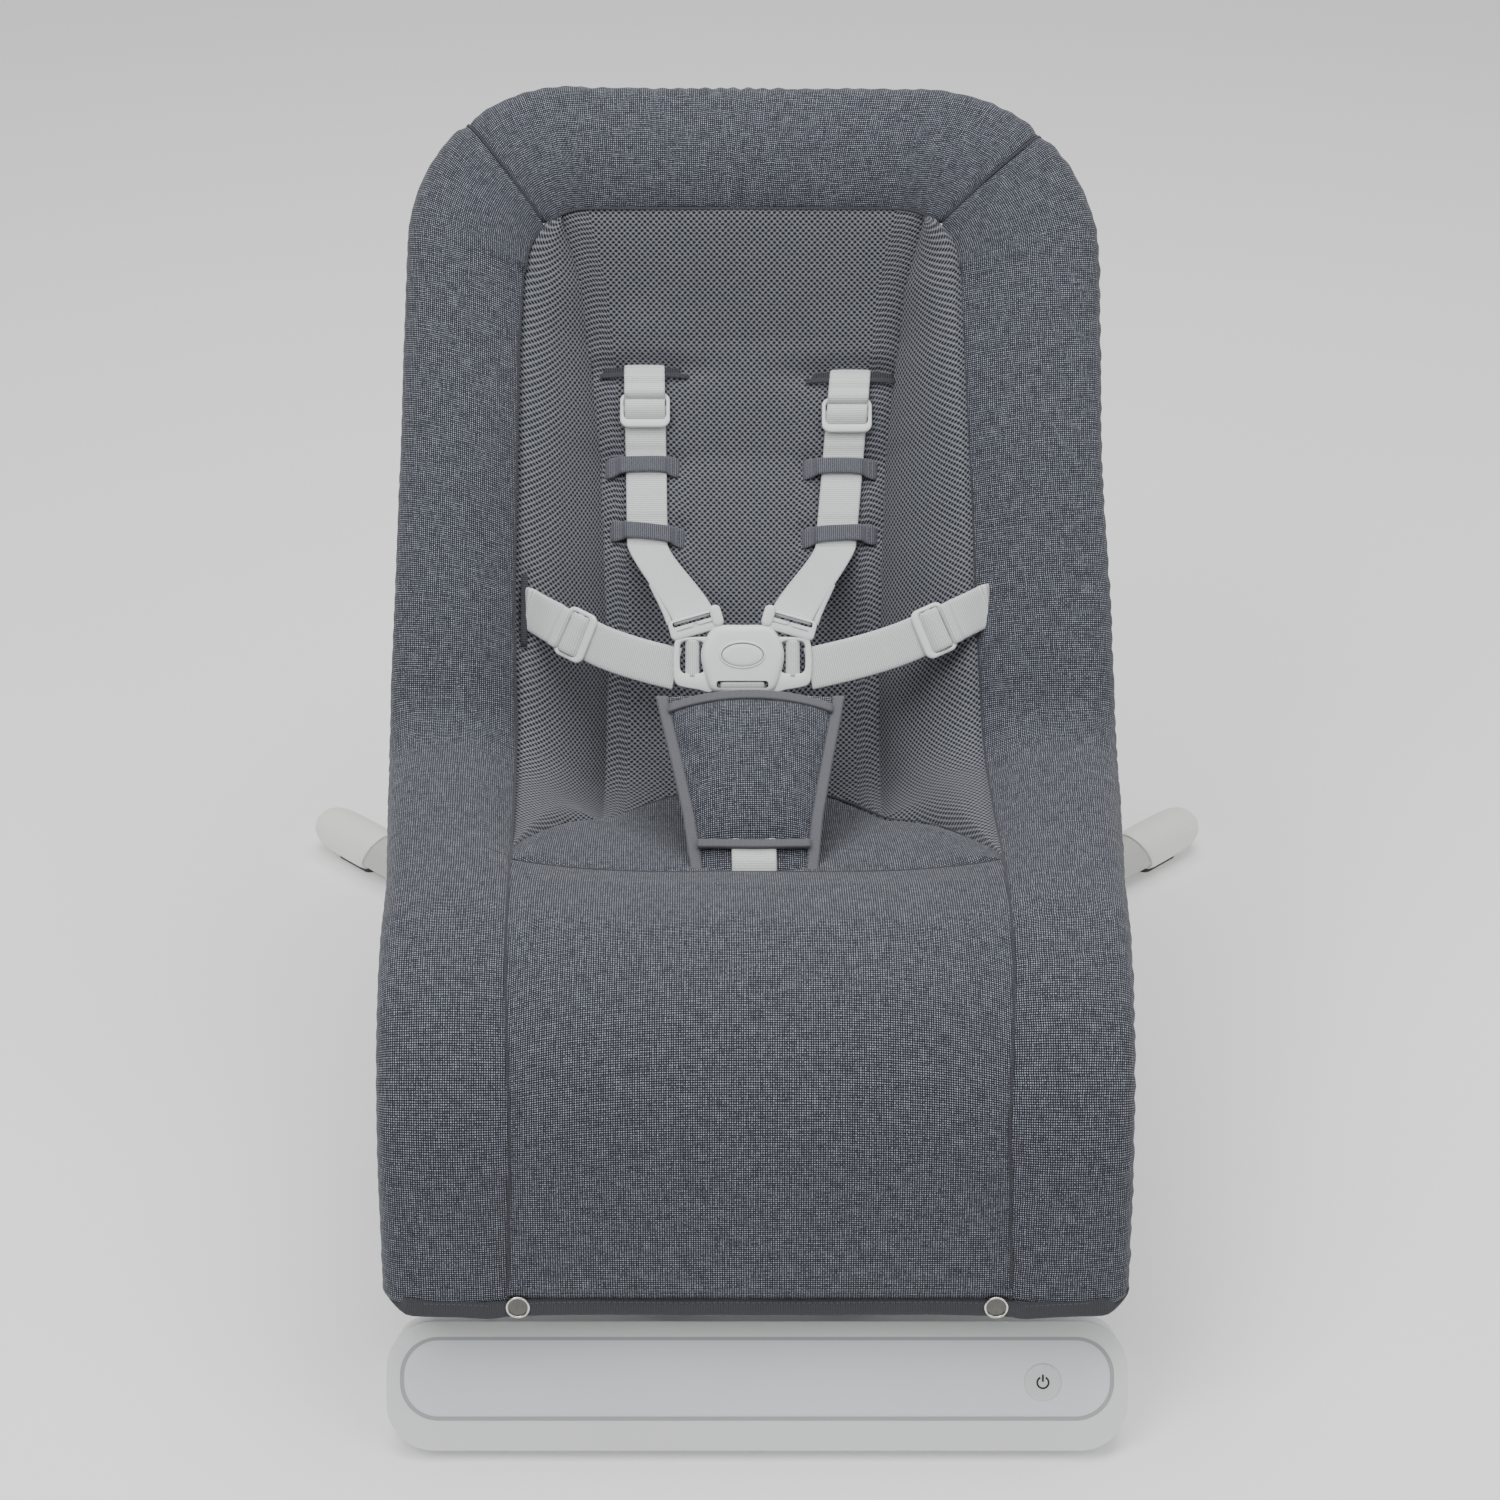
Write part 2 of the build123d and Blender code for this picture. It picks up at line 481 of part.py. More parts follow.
# ---- cradle ----
middle = on_hub(0, 0, cradle_rise)
eye_x = back_half - joint_lug / 2 - clear - eye_thickness / 2
reach = hypot(middle[1] - recline_y, middle[2] - recline_z)
to_middle = ((middle[1] - recline_y) / reach, (middle[2] - recline_z) / reach)
eye_reach = eye_radius - 2
tube_end = (eye_x - eye_thickness / 2, recline_y + eye_reach * to_middle[0],
            recline_z + eye_reach * to_middle[1])
cradle_points = [tube_end, (cradle_corner_x, middle[1], middle[2])]
cradle_path = FilletPolyline(*cradle_points, *[(-x, y, z) for x, y, z in reversed(cradle_points)],
                             radius=cradle_bend)
cradle_tube = tube_along(cradle_path, cradle_radius, cradle_radius - cradle_wall)
end_dir = cradle_path % 0
socket_end = tuple(Vector(*tube_end) + end_dir * eye_socket)
socket_back = tuple(Vector(*tube_end) - end_dir * 3)
cradle_end = rod(cradle_radius + slip + 2.5, socket_back, socket_end)
eye_plane = Plane(origin=(eye_x, recline_y, recline_z), x_dir=(0, 1, 0), z_dir=(1, 0, 0))
cradle_end += disc(eye_plane, eye_radius, -eye_thickness / 2, eye_thickness / 2)
cradle_end -= rod(cradle_radius + slip, tube_end, socket_end)
cradle_end -= disc(eye_plane, recline_pin_radius, -30, 30)
cradle_end -= slab(Plane.YZ, 400, 400, eye_x + eye_thickness / 2, eye_x + 50, recline_y, recline_z)
cradle_ends = both_sides(cradle_end)
saddle = slab(hub_plane, 2 * saddle_half, saddle_depth, post_top - 14, cradle_rise + saddle_top, corner=8)
saddle -= rod(cradle_radius + slip, on_hub(-saddle_half, 0, cradle_rise), on_hub(saddle_half, 0, cradle_rise))
cradle_saddle = saddle - hub_disc(post_radius, 0, post_top)
pin_out = joint_lug + eye_thickness / 2 + clear + 2
recline_pin = disc(eye_plane, recline_pin_radius, -eye_thickness / 2 - 2, pin_out)
recline_pins = both_sides(recline_pin)

# ---- rear legs ----
leg_floor_z = sole_thickness + cap_radius
leg_dir = (sin(radians(leg_angle)), cos(radians(leg_angle)))
foot_reach = (half_length - cap_round * (1 + leg_dir[0] - leg_dir[1]) - leg_pivot_y) / leg_dir[1]
leg_start, leg_end = 8.0, foot_reach - cap_length + 20.0
leg_slope = (leg_root_z - leg_floor_z) / leg_bend_reach


def on_leg(r, z):
    """World point from distance out along the leg and height."""
    return (leg_pivot_x + r * leg_dir[0], leg_pivot_y + r * leg_dir[1], z)


leg_path = FilletPolyline(
    on_leg(leg_start, leg_root_z - leg_slope * leg_start), on_leg(leg_bend_reach, leg_floor_z),
    on_leg(leg_end, leg_floor_z), radius=leg_bend_radius)
pivot_plane = Plane(origin=(leg_pivot_x, leg_pivot_y, leg_root_z))
leg_tube = tube_along(leg_path, leg_radius, leg_radius - leg_wall)
half_knuckle = knuckle_height / 2
for low, high in ((-100, -half_knuckle), (half_knuckle, 100)):
    leg_tube -= disc(pivot_plane, knuckle_radius + clear, low, high)
rear_leg_right = leg_tube + disc(pivot_plane, knuckle_radius, -half_knuckle, half_knuckle) \
    - disc(pivot_plane, leg_pin_radius + running, -100, 100)
foot_line = Plane(origin=on_leg(foot_reach, leg_floor_z), x_dir=(leg_dir[1], -leg_dir[0], 0),
                  z_dir=(*leg_dir, 0))
foot_cap = disc(foot_line, cap_radius, -cap_length, 0)
foot_cap = fillet(foot_cap.edges().sort_by(Axis((0, 0, 0), (*leg_dir, 0)))[-1], cap_round)
foot_cap_right = foot_cap - disc(foot_line, leg_radius, -cap_length, leg_end - foot_reach)
sole_plane = Plane(origin=on_leg(foot_reach - cap_length / 2, 0), x_dir=(*leg_dir, 0), z_dir=(0, 0, 1))
sole_pad_right = slab(sole_plane, cap_length - 26, 12, 0, sole_thickness + 1.5, corner=5) \
    - disc(foot_line, cap_radius, -cap_length, 0)

# ---- seat frame ----
def side_z(y):
    """Height of the side tubes between knee and bend corners."""
    return bend_z + (knee_z - bend_z) * (bend_y - y) / (bend_y - knee_y)


def side_x(y):
    """Side tube from the centre plane; it narrows from the joint to the knee."""
    share = min(max((joint_y - y) / (joint_y - knee_y), 0.0), 1.0)
    return back_half + (front_half - back_half) * share


def loop_path(points, radii):
    """Tube line down one side, across, and back up the other."""
    return FilletPolyline(*points, *[(-x, y, z) for x, y, z in reversed(points)], radius=radii)


gap = joint_length / 2
upper_points = [(back_half, joint_y + gap, side_z(joint_y + gap)), (back_half, bend_y, bend_z),
                (back_half, top_y, top_z)]
lower_points = [(side_x(joint_y - gap), joint_y - gap, side_z(joint_y - gap)),
                (front_half, knee_y, knee_z), (front_half, hem_y, hem_z)]
bend_fit = min(bend_radius, 0.95 * (bend_y - joint_y - gap) / tan(radians(back_angle) / 2))
upper_frame_tube = tube_along(loop_path(upper_points, [bend_fit, top_corner, top_corner, bend_fit]),
                              tube_radius, tube_radius - tube_wall)
lower_frame_tube = tube_along(loop_path(lower_points, [knee_radius, hem_corner, hem_corner, knee_radius]),
                              tube_radius, tube_radius - tube_wall)
spigot_radius = tube_radius - tube_wall - slip
front_dir = (Vector(*lower_points[1]) - Vector(*lower_points[0])).normalized()
rear_dir = (Vector(*upper_points[1]) - Vector(*upper_points[0])).normalized()
joint_ends = [Vector(*upper_points[0]), Vector(*lower_points[0])]
frame_joint = rod(tube_radius, joint_ends[1] + front_dir * -clear, joint_ends[0] + rear_dir * -clear)
frame_joint += rod(spigot_radius, joint_ends[0] - rear_dir * 2, joint_ends[0] + rear_dir * spigot_length)
frame_joint += rod(spigot_radius, joint_ends[1] - front_dir * 2, joint_ends[1] + front_dir * spigot_length)
lug_plane = Plane(origin=(back_half, 0, 0), x_dir=(0, 1, 0), z_dir=(1, 0, 0))
lug_outline = make_hull([
    *(Pos(recline_y, recline_z) * Circle(joint_lug_radius)).edges(),
    *(Pos(joint_y, bend_z - 4) * Rectangle(joint_length - 2, 6)).edges()])
lug = extrude(lug_plane * (Pos(0, 0, -joint_lug / 2) * lug_outline), joint_lug)
frame_joint += lug - rod(tube_radius + slip, joint_ends[0], joint_ends[0] + rear_dir * 60)
frame_joint -= disc(eye_plane, recline_pin_radius + running, -30, 60)
frame_joints = both_sides(frame_joint)

# ---- rim of the seat cover ----
rim_line = FilletPolyline(
    (0, hem_y - hem_drop * drop_up[0], hem_z - hem_drop * drop_up[1]), (0, knee_y, knee_z),
    (0, bend_y, bend_z), (0, top_y - side_end * back_dir[0], top_z - side_end * back_dir[1]),
    radius=[knee_radius, bend_fit])
crown = tube_radius + sleeve
under = tube_radius + 1.3


def rim_section(inner, dip):
    """Side panel's section: x from the side tube, and height above it, dipping at the inner seam."""
    low = 12.0 * dip
    return [(tube_radius + 4, 8.5), (tube_radius + 4, crown - 4), (0, crown), (inner, crown - low),
            (inner, crown - low - cover_thickness), (inner + 29, under - 0.5 - 0.9 * low),
            (-12.5, under - 0.5 - 0.25 * low), (0, under), (12.5, 8.5)]


rim_loops = []
for (y, z), (ny, nz) in stations(rim_line):
    height = hypot(y - hem_y, z - hem_z) if z < knee_z - 30 else 100.0
    dip = min(max((height - 60) / 30, 0.0), 1.0)
    x = side_x(y)
    rim_loops.append([(x + u, y + n * ny, z + n * nz) for u, n in rim_section(band_inner - x, dip)])
rim_panel_right = skin(rim_loops)
top_reach = tube_radius + 4
outer_edge = slab(top_plane, 2 * (back_half + top_reach), 2 * back_length, under, crown,
                  0, top_reach - back_length, top_corner + top_reach)
inner_edge = slab(top_plane, 2 * band_inner, 2 * back_length, 0, 2 * crown,
                  0, top_reach - top_band - back_length, 60)
head_zone = slab(top_plane, 3 * back_half, side_end - clear + top_reach, 0, 2 * crown,
                 0, (top_reach - side_end + clear) / 2)
rim_panel_top = (outer_edge - inner_edge) & head_zone

# ---- padded insert, seat and leg panels ----
insert_line = FilletPolyline(
    (0, crotch_y, crotch_z), (0, low_y, low_z), (0, lumbar_y, lumbar_z),
    (0, insert_top_y, insert_top_z), radius=[low_radius, lumbar_radius])
seam_line = FilletPolyline(                                 # inner edge of the rim, beside the insert
    (0, crotch_y, side_z(crotch_y) + 1), (0, bend_y, bend_z + 2),
    (0, insert_top_y - 2, insert_top_z + 4), radius=60)
seat_share, seam_share = 0.29, 0.25    # where the seat panel ends on each of these lines


def insert_half(share):
    """Half width of the centre panel along the insert line."""
    if share > 0.75:
        return insert_half_mid + (insert_half_top - insert_half_mid) * (share - 0.75) / 0.25
    return insert_half_low + (insert_half_mid - insert_half_low) * share / 0.75


back_loops, bolster_loops, seat_loops = [], {-1: [], 1: []}, []
back_steps, seat_steps = 14, 5
for i in range(back_steps + 1):
    share = seat_share + 0.004 + (1 - seat_share - 0.004) * i / back_steps
    edge_share = seam_share + 0.004 + (1 - seam_share - 0.004) * i / back_steps
    (y, z), (ny, nz) = at_fraction(insert_line, share)
    (ey, ez), _ = at_fraction(seam_line, edge_share)
    rise = (ey - y) * ny + (ez - z) * nz
    ey, ez = y + rise * ny, z + rise * nz
    low = (-pad_thickness * ny, -pad_thickness * nz)
    half = insert_half(share)
    back_loops.append([(inner_shift + half, y, z), (inner_shift - half, y, z),
                       (inner_shift - half, y + low[0], z + low[1]),
                       (inner_shift + half, y + low[0], z + low[1])])
    for side in (-1, 1):
        near, far = inner_shift + side * (half + clear), side * (band_inner - clear)
        bolster_loops[side].append([(near, y, z), (far, ey, ez), (far, ey + low[0], ez + low[1]),
                                    (near, y + low[0], z + low[1])])
back_mesh_panel = skin(back_loops)
bolster_right, bolster_left = skin(bolster_loops[1]), skin(bolster_loops[-1])
for i in range(seat_steps + 1):
    (y, z), (ny, nz) = at_fraction(insert_line, seat_share * i / seat_steps)
    (ey, ez), _ = at_fraction(seam_line, seam_share * i / seat_steps)
    rise = (ey - y) * ny + (ez - z) * nz
    ey, ez = y + rise * ny, z + rise * nz
    low = (-pad_thickness * ny, -pad_thickness * nz)
    far, near = band_inner - clear, insert_half_low
    top = [(far, ey, ez), (near, y, z), (-near, y, z), (-far, ey, ez)]
    seat_loops.append(top + [(x, a + low[0], b + low[1]) for x, a, b in reversed(top)])
seat_panel = skin(seat_loops)

leg_lift = under + cover_thickness / 2 + 0.2
leg_line = FilletPolyline(
    (0, hem_y - hem_drop * drop_up[0] + leg_lift * drop_out[0],
     hem_z - hem_drop * drop_up[1] + leg_lift * drop_out[1]),
    (0, knee_y + leg_lift * drop_out[0], knee_z + 10), (0, crotch_y - 4, crotch_z - 4),
    radius=knee_radius - 15)
leg_loops = []
for (y, z), (ny, nz) in stations(leg_line):
    up = (cover_thickness / 2 * ny, cover_thickness / 2 * nz)
    far = band_inner - clear
    leg_loops.append([(far, y + up[0], z + up[1]), (-far, y + up[0], z + up[1]),
                      (-far, y - up[0], z - up[1]), (far, y - up[0], z - up[1])])
leg_panel = skin(leg_loops)

hem_binding = slab(hem_plane, 2 * (front_half + 8), binding_height, under - 4, under - 4 + binding_depth,
                   0, -hem_drop - clear - binding_height / 2, 2)
snap_y = -hem_drop - clear - binding_height / 2 + 1
hem_snaps = Compound(children=[
    disc(hem_plane, snap_radius, under - 4 + binding_depth, under - 2 + binding_depth,
         side * snap_x, snap_y) for side in (-1, 1)])

# ---- harness ----
def web_sleeve(plane, width, length, depth):
    """Frame around a strap that runs along the plane's y."""
    return slab(plane, width, length, -depth / 2, depth / 2, corner=2) \
        - slab(plane, web_width + 2, 2 * length, -web_thickness / 2 - 1.5, web_thickness / 2 + 1.5)


shoulder_straps, waist_straps, adjusters, keepers = [], [], [], []
line_length = insert_line.length
side_offset = buckle_width / 2 + 6
for side in (-1, 1):
    x = inner_shift + side * shoulder_x
    points = []
    for distance in shoulder_stations:
        (y, z), (ny, nz) = at_fraction(insert_line, 1 - distance / line_length, strap_lift)
        points.append((x, y, z))
        kind = shoulder_stations.index(distance)
        across = Plane(origin=(x, y, z), x_dir=(1, 0, 0), z_dir=(0, ny, nz))
        if kind == 1:
            adjusters.append(web_sleeve(across, adjuster_width, adjuster_length, adjuster_depth))
        elif kind > 1:
            keepers.append(web_sleeve(across, keeper_width, keeper_length, keeper_depth))
    upper_edge = buckle_plane.from_local_coords(
        Vector(side * side_offset, buckle_height / 2 + connector_height + 5, 0))
    points.append((x, points[-1][1] - 10, points[-1][2] - 8))
    points.append(tuple(upper_edge))
    shoulder_straps.append(ribbon(points, (1, 0, 0), web_width, web_thickness))
    start = buckle_plane.from_local_coords(
        Vector(side * (buckle_width / 2 + tongue_length - tongue_grip + clear), -2, 0))
    end = Vector(side * waist_slot_x, bend_y + waist_slot_behind, buckle_z)
    waist_straps.append(ribbon([tuple(start), tuple(end)], buckle_plane.y_dir, web_width, web_thickness))
    middle_point = start + (end - start) * 0.55
    along = (end - start).normalized()
    flat = along.cross(buckle_plane.y_dir).normalized()
    adjusters.append(web_sleeve(Plane(origin=middle_point, x_dir=flat.cross(along), z_dir=flat),
                                adjuster_width, adjuster_length, adjuster_depth))

buckle_low, buckle_high = -buckle_depth / 2, buckle_depth / 2
release_cut = slab(buckle_plane, release_width + 2 * running, release_height + 2 * running,
                   buckle_high - release_depth - release_travel + 1.0 - clear, buckle_high + 5, 0,
                   release_rise, release_height / 2 - 0.1)
tongue_cut = slab(buckle_plane, 2 * buckle_width, tongue_width - 2 + 2 * clear,
                  -tongue_thickness / 2 - clear, tongue_thickness / 2 + clear, 0, -1) \
    - slab(buckle_plane, buckle_width - 2 * tongue_grip - 2 * clear, buckle_height, buckle_low, buckle_high)
web_slot = slab(buckle_plane, web_width + 1, 3, buckle_low - 1, buckle_high + 1, 0, -buckle_web_drop)
buckle_body = slab(buckle_plane, buckle_width, buckle_height, buckle_low, buckle_high, corner=7)
buckle_body = fillet(buckle_body.faces().sort_by(
    lambda face: buckle_plane.to_local_coords(face.center()).Z)[-1].edges(), 2.5)
buckle_body = buckle_body - release_cut - tongue_cut - web_slot
buckle_button = slab(buckle_plane, release_width, release_height, buckle_high - release_depth + 1.0,
                     buckle_high + 1.0, 0, release_rise, release_height / 2 - 0.1)
tongues, connectors = [], []
for side in (-1, 1):
    blade = slab(buckle_plane, tongue_length, tongue_width - 2, -tongue_thickness / 2, tongue_thickness / 2,
                 side * (buckle_width / 2 + tongue_length / 2 - tongue_grip), -1, 2)
    bar = slab(buckle_plane, 5, tongue_width + 8, -3, 3,
               side * (buckle_width / 2 + tongue_length - tongue_grip - 2.5), -1, 2)
    tongues.append(blade + bar)
    connectors.append(slab(buckle_plane, connector_width, connector_height, -connector_thickness / 2,
                           connector_thickness / 2, side * side_offset,
                           buckle_height / 2 + connector_height / 2 + 3, 3))

pad_loops = []
pad_top = Vector(inner_shift, bend_y - pad_top_ahead, bend_z + pad_top_rise)
pad_low = Vector(inner_shift / 2, crotch_y + pad_low_behind, crotch_z + pad_low_rise)
tilt = Vector(0, pad_low.Y - pad_top.Y, pad_low.Z - pad_top.Z).normalized()
pad_normal = Vector(-1, 0, 0).cross(tilt) * (crotch_pad_thickness / 2)
for share in (0.0, 0.15, 0.5, 0.9, 1.0):
    half = pad_top_half + (pad_low_half - pad_top_half) * min(share * 1.4, 1.0)
    at = pad_top * (1 - share) + pad_low * share
    across = Vector(half, 0, 0)
    pad_loops.append([tuple(at + across + pad_normal), tuple(at - across + pad_normal),
                      tuple(at - across - pad_normal), tuple(at + across - pad_normal)])
crotch_pad = skin(pad_loops)
pad_under = pad_normal.normalized() * (crotch_pad_thickness / 2 + web_thickness / 2 + clear)
if pad_under.Z > 0:
    pad_under = pad_under * -1
strap_points = [
    tuple(pad_top + Vector(0, 4, 2) + pad_under * 1.5), tuple(pad_low + pad_under),
    (inner_shift / 2, crotch_y + 3, crotch_z + 3)]
crotch_strap = ribbon(strap_points, (1, 0, 0), web_width, web_thickness)

# ---- one file for each piece ----
nodes = {
    "housing_front_shell": housing_front_shell, "housing_rear_shell": housing_rear_shell,
    "control_panel": control_panel, "panel_trim_ring": panel_trim_ring, "power_button": power_button,
    "control_board": control_board, "speaker": speaker, "battery_cells": Compound(children=cells),
    "battery_contacts": Compound(children=contacts), "battery_door": battery_door,
    "power_inlet": power_inlet, "housing_foot_pads": Compound(children=foot_pads),
    "case_screws": Compound(children=screws), "base_arm_right": base_arm_right,
    "base_arm_left": mirrored(base_arm_right), "hub_lower_shell": hub_lower_shell,
    "hub_upper_shell": hub_upper_shell, "swing_bearings": Compound(children=bearings),
    "drive_coil": drive_coil, "travel_bumpers": travel_bumpers, "drive_cable": drive_cable,
    "leg_hinge_pins": leg_hinge_pins, "swing_post": swing_post, "post_nut": post_nut,
    "magnet_arm": magnet_arm, "drive_magnets": drive_magnets, "cradle_saddle": cradle_saddle,
    "cradle_tube": cradle_tube, "cradle_ends": cradle_ends, "recline_pins": recline_pins,
    "rear_leg_right": rear_leg_right, "rear_leg_left": mirrored(rear_leg_right),
    "foot_cap_right": foot_cap_right, "foot_cap_left": mirrored(foot_cap_right),
    "sole_pad_right": sole_pad_right, "sole_pad_left": mirrored(sole_pad_right),
    "upper_frame_tube": upper_frame_tube, "lower_frame_tube": lower_frame_tube,
    "frame_joints": frame_joints, "rim_panel_top": rim_panel_top, "rim_panel_right": rim_panel_right,
    "rim_panel_left": mirrored(rim_panel_right), "back_mesh_panel": back_mesh_panel,
    "bolster_right": bolster_right, "bolster_left": bolster_left, "seat_panel": seat_panel,
    "leg_panel": leg_panel, "hem_binding": hem_binding, "hem_snaps": hem_snaps,
    "shoulder_straps": Compound(children=shoulder_straps), "waist_straps": Compound(children=waist_straps),
    "strap_adjusters": Compound(children=adjusters), "strap_keepers": Compound(children=keepers),
    "shoulder_connectors": Compound(children=connectors), "buckle_tongues": Compound(children=tongues),
    "buckle_body": buckle_body, "buckle_button": buckle_button, "crotch_strap": crotch_strap,
    "crotch_pad": crotch_pad,
}
os.makedirs("parts", exist_ok=True)
for name, shape in nodes.items():
    export_step(shape, f"parts/{name}.step")
whole = Compound(children=list(nodes.values())).bounding_box()
print(len(nodes), "pieces", whole.min, whole.max)
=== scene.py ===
import math

import bmesh
import bpy
import numpy as np
from mathutils import Matrix, Vector, noise


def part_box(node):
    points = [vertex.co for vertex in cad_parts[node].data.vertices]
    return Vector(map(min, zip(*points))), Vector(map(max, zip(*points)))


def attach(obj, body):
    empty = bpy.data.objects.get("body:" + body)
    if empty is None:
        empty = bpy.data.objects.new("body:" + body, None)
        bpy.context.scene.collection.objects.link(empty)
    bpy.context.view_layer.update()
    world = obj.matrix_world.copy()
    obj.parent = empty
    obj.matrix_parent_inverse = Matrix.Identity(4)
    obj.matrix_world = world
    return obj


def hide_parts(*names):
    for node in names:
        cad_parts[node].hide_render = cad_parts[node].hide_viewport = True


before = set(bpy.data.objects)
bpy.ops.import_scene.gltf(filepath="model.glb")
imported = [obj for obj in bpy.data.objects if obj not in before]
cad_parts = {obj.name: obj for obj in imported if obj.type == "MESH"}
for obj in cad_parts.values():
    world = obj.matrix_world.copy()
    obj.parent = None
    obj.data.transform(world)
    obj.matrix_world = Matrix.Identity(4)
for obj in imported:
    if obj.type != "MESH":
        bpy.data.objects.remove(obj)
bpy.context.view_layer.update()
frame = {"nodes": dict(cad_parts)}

# lengths below are in millimetres in the frame's axes; meshes are made in metres
mm = 0.001


# small tools
def pieceMesh(name, points, faces, materials, body, indices=None, cloth=None, smooth=True):
    mesh = bpy.data.meshes.new(name)
    mesh.from_pydata([tuple(p) for p in np.asarray(points) * mm], [], [tuple(f) for f in faces])
    for material in materials:
        mesh.materials.append(material)
    mesh.polygons.foreach_set("use_smooth", [smooth] * len(mesh.polygons))
    if indices is not None:
        mesh.polygons.foreach_set("material_index", indices)
    if cloth is not None:  # position on the flat cloth, in metres, for the weave
        layer = mesh.attributes.new("cloth", "FLOAT_VECTOR", "POINT")
        layer.data.foreach_set("vector", (np.asarray(cloth, float) * mm).ravel())
    mesh.update()
    piece = bpy.data.objects.new(name, mesh)
    bpy.context.scene.collection.objects.link(piece)
    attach(piece, body)
    return piece


def gridFaces(rows, columns, offset=0, closed=False, flip=False, joined=False):
    faces = []
    for i in range(rows if joined else rows - 1):
        for j in range(columns if closed else columns - 1):
            k = (j + 1) % columns
            face = [offset + i * columns + j, offset + i * columns + k,
                    offset + (i + 1) % rows * columns + k, offset + (i + 1) % rows * columns + j]
            faces.append(face[::-1] if flip else face)
    return faces


def clothOf(grid):
    # distance along the rows from the middle column, and along the middle column
    steps = np.linalg.norm(np.diff(grid, axis=1), axis=2)
    across = np.concatenate([np.zeros((grid.shape[0], 1)), np.cumsum(steps, axis=1)], axis=1)
    across -= across[:, grid.shape[1] // 2][:, None]
    middle = grid[:, grid.shape[1] // 2]
    along = np.concatenate([[0], np.cumsum(np.linalg.norm(np.diff(middle, axis=0), axis=1))])
    flat = np.zeros(grid.shape)
    flat[:, :, 0] = across
    flat[:, :, 1] = along[:, None]
    return flat


def padFrom(name, front, back, materials, body, cloth=None):
    # closed pad between two grids of points that share their outline
    rows, columns = front.shape[:2]
    count = rows * columns
    points = np.concatenate([front.reshape(-1, 3), back.reshape(-1, 3)])
    faces = gridFaces(rows, columns) + gridFaces(rows, columns, count, flip=True)
    fronts = len(faces) // 2
    rim = [j for j in range(columns)] + [i * columns + columns - 1 for i in range(1, rows)] \
        + [(rows - 1) * columns + j for j in range(columns - 2, -1, -1)] \
        + [i * columns for i in range(rows - 2, 0, -1)]
    for a, b in zip(rim, rim[1:] + rim[:1]):
        faces.append([b, a, a + count, b + count])
    indices = [0] * fronts + [min(1, len(materials) - 1)] * fronts + [0] * len(rim)
    sides = (clothOf(front), clothOf(back)) if cloth is None else (cloth, cloth)
    cloth = np.concatenate([side.reshape(-1, 3) for side in sides])
    return pieceMesh(name, points, faces, materials, body, indices, cloth)


def loft(name, loops, materials, body, capped=True, cloth=None, smooth=True, joined=False):
    # closed loops of equal length, joined in order; joined makes a ring of them
    grid = np.asarray(loops, float)
    rows, columns = grid.shape[:2]
    faces = gridFaces(rows, columns, closed=True, joined=joined)
    points = grid.reshape(-1, 3)
    flat = clothOf(grid).reshape(-1, 3) if cloth is None else cloth
    if capped and not joined:
        for row, turn in ((0, -1), (rows - 1, 1)):
            middle = len(points)
            points = np.vstack([points, grid[row].mean(axis=0)])
            flat = np.vstack([flat, flat[row * columns]])
            for j in range(columns):
                pair = [row * columns + j, row * columns + (j + 1) % columns]
                faces.append([middle] + pair[::turn])
    return pieceMesh(name, points, faces, materials, body, cloth=flat, smooth=smooth)


def unit(vector):
    vector = np.asarray(vector, float)
    return vector / np.linalg.norm(vector, axis=-1, keepdims=True)


def planeAt(origin, normal, xDir=(1, 0, 0)):
    z = unit(normal)
    x = unit(np.asarray(xDir, float) - np.dot(xDir, z) * z)
    return np.array(origin, float), x, np.cross(z, x), z


def onPlane(plane, points):
    points = np.asarray(points, float)
    return plane[0] + points[..., :1] * plane[1] + points[..., 1:2] * plane[2] + points[..., 2:3] * plane[3]


def roundRect(width, height, radius, cx=0.0, cy=0.0, steps=8):
    points = []
    for qx, qy, start in ((1, 1, 0), (-1, 1, 90), (-1, -1, 180), (1, -1, 270)):
        for k in range(steps + 1):
            turn = math.radians(start + 90 * k / steps)
            points.append((cx + qx * (width / 2 - radius) + radius * math.cos(turn),
                           cy + qy * (height / 2 - radius) + radius * math.sin(turn)))
    return np.array(points)


def ovalOutline(width, height, count, cx=0.0, cy=0.0, power=2.0):
    turns = np.linspace(0, 2 * math.pi, count, endpoint=False)
    c, s = np.cos(turns), np.sin(turns)
    return np.stack([cx + width / 2 * np.sign(c) * np.abs(c) ** (2 / power),
                     cy + height / 2 * np.sign(s) * np.abs(s) ** (2 / power)], axis=1)


def inward(outline, inset):
    # outline is drawn anticlockwise
    tangent = np.roll(outline, -1, axis=0) - np.roll(outline, 1, axis=0)
    tangent = tangent / np.maximum(np.linalg.norm(tangent, axis=1), 1e-9)[:, None]
    return outline - inset * np.stack([tangent[:, 1], -tangent[:, 0]], axis=1)


def plate(name, plane, layers, materials, body, slot, joined=False, smooth=True):
    # stacked outlines: (outline, inset, height) from the underside to the top
    loops = [onPlane(plane, np.column_stack([inward(outline, inset), np.full(len(outline), height)]))
             for outline, inset, height in layers]
    return loft(name, loops, materials, body, joined=joined, smooth=smooth)


def windowFrame(outer, inner, low, high, bevel):
    # layers of a flat frame with a window, for a joined plate
    return [(outer, 0, low + bevel), (outer, 0, high - bevel), (outer, 0.3 * bevel, high - 0.3 * bevel),
            (outer, bevel, high), (inner, -bevel, high), (inner, -0.3 * bevel, high - 0.3 * bevel),
            (inner, 0, high - bevel), (inner, 0, low + bevel), (inner, -bevel, low), (outer, bevel, low)]


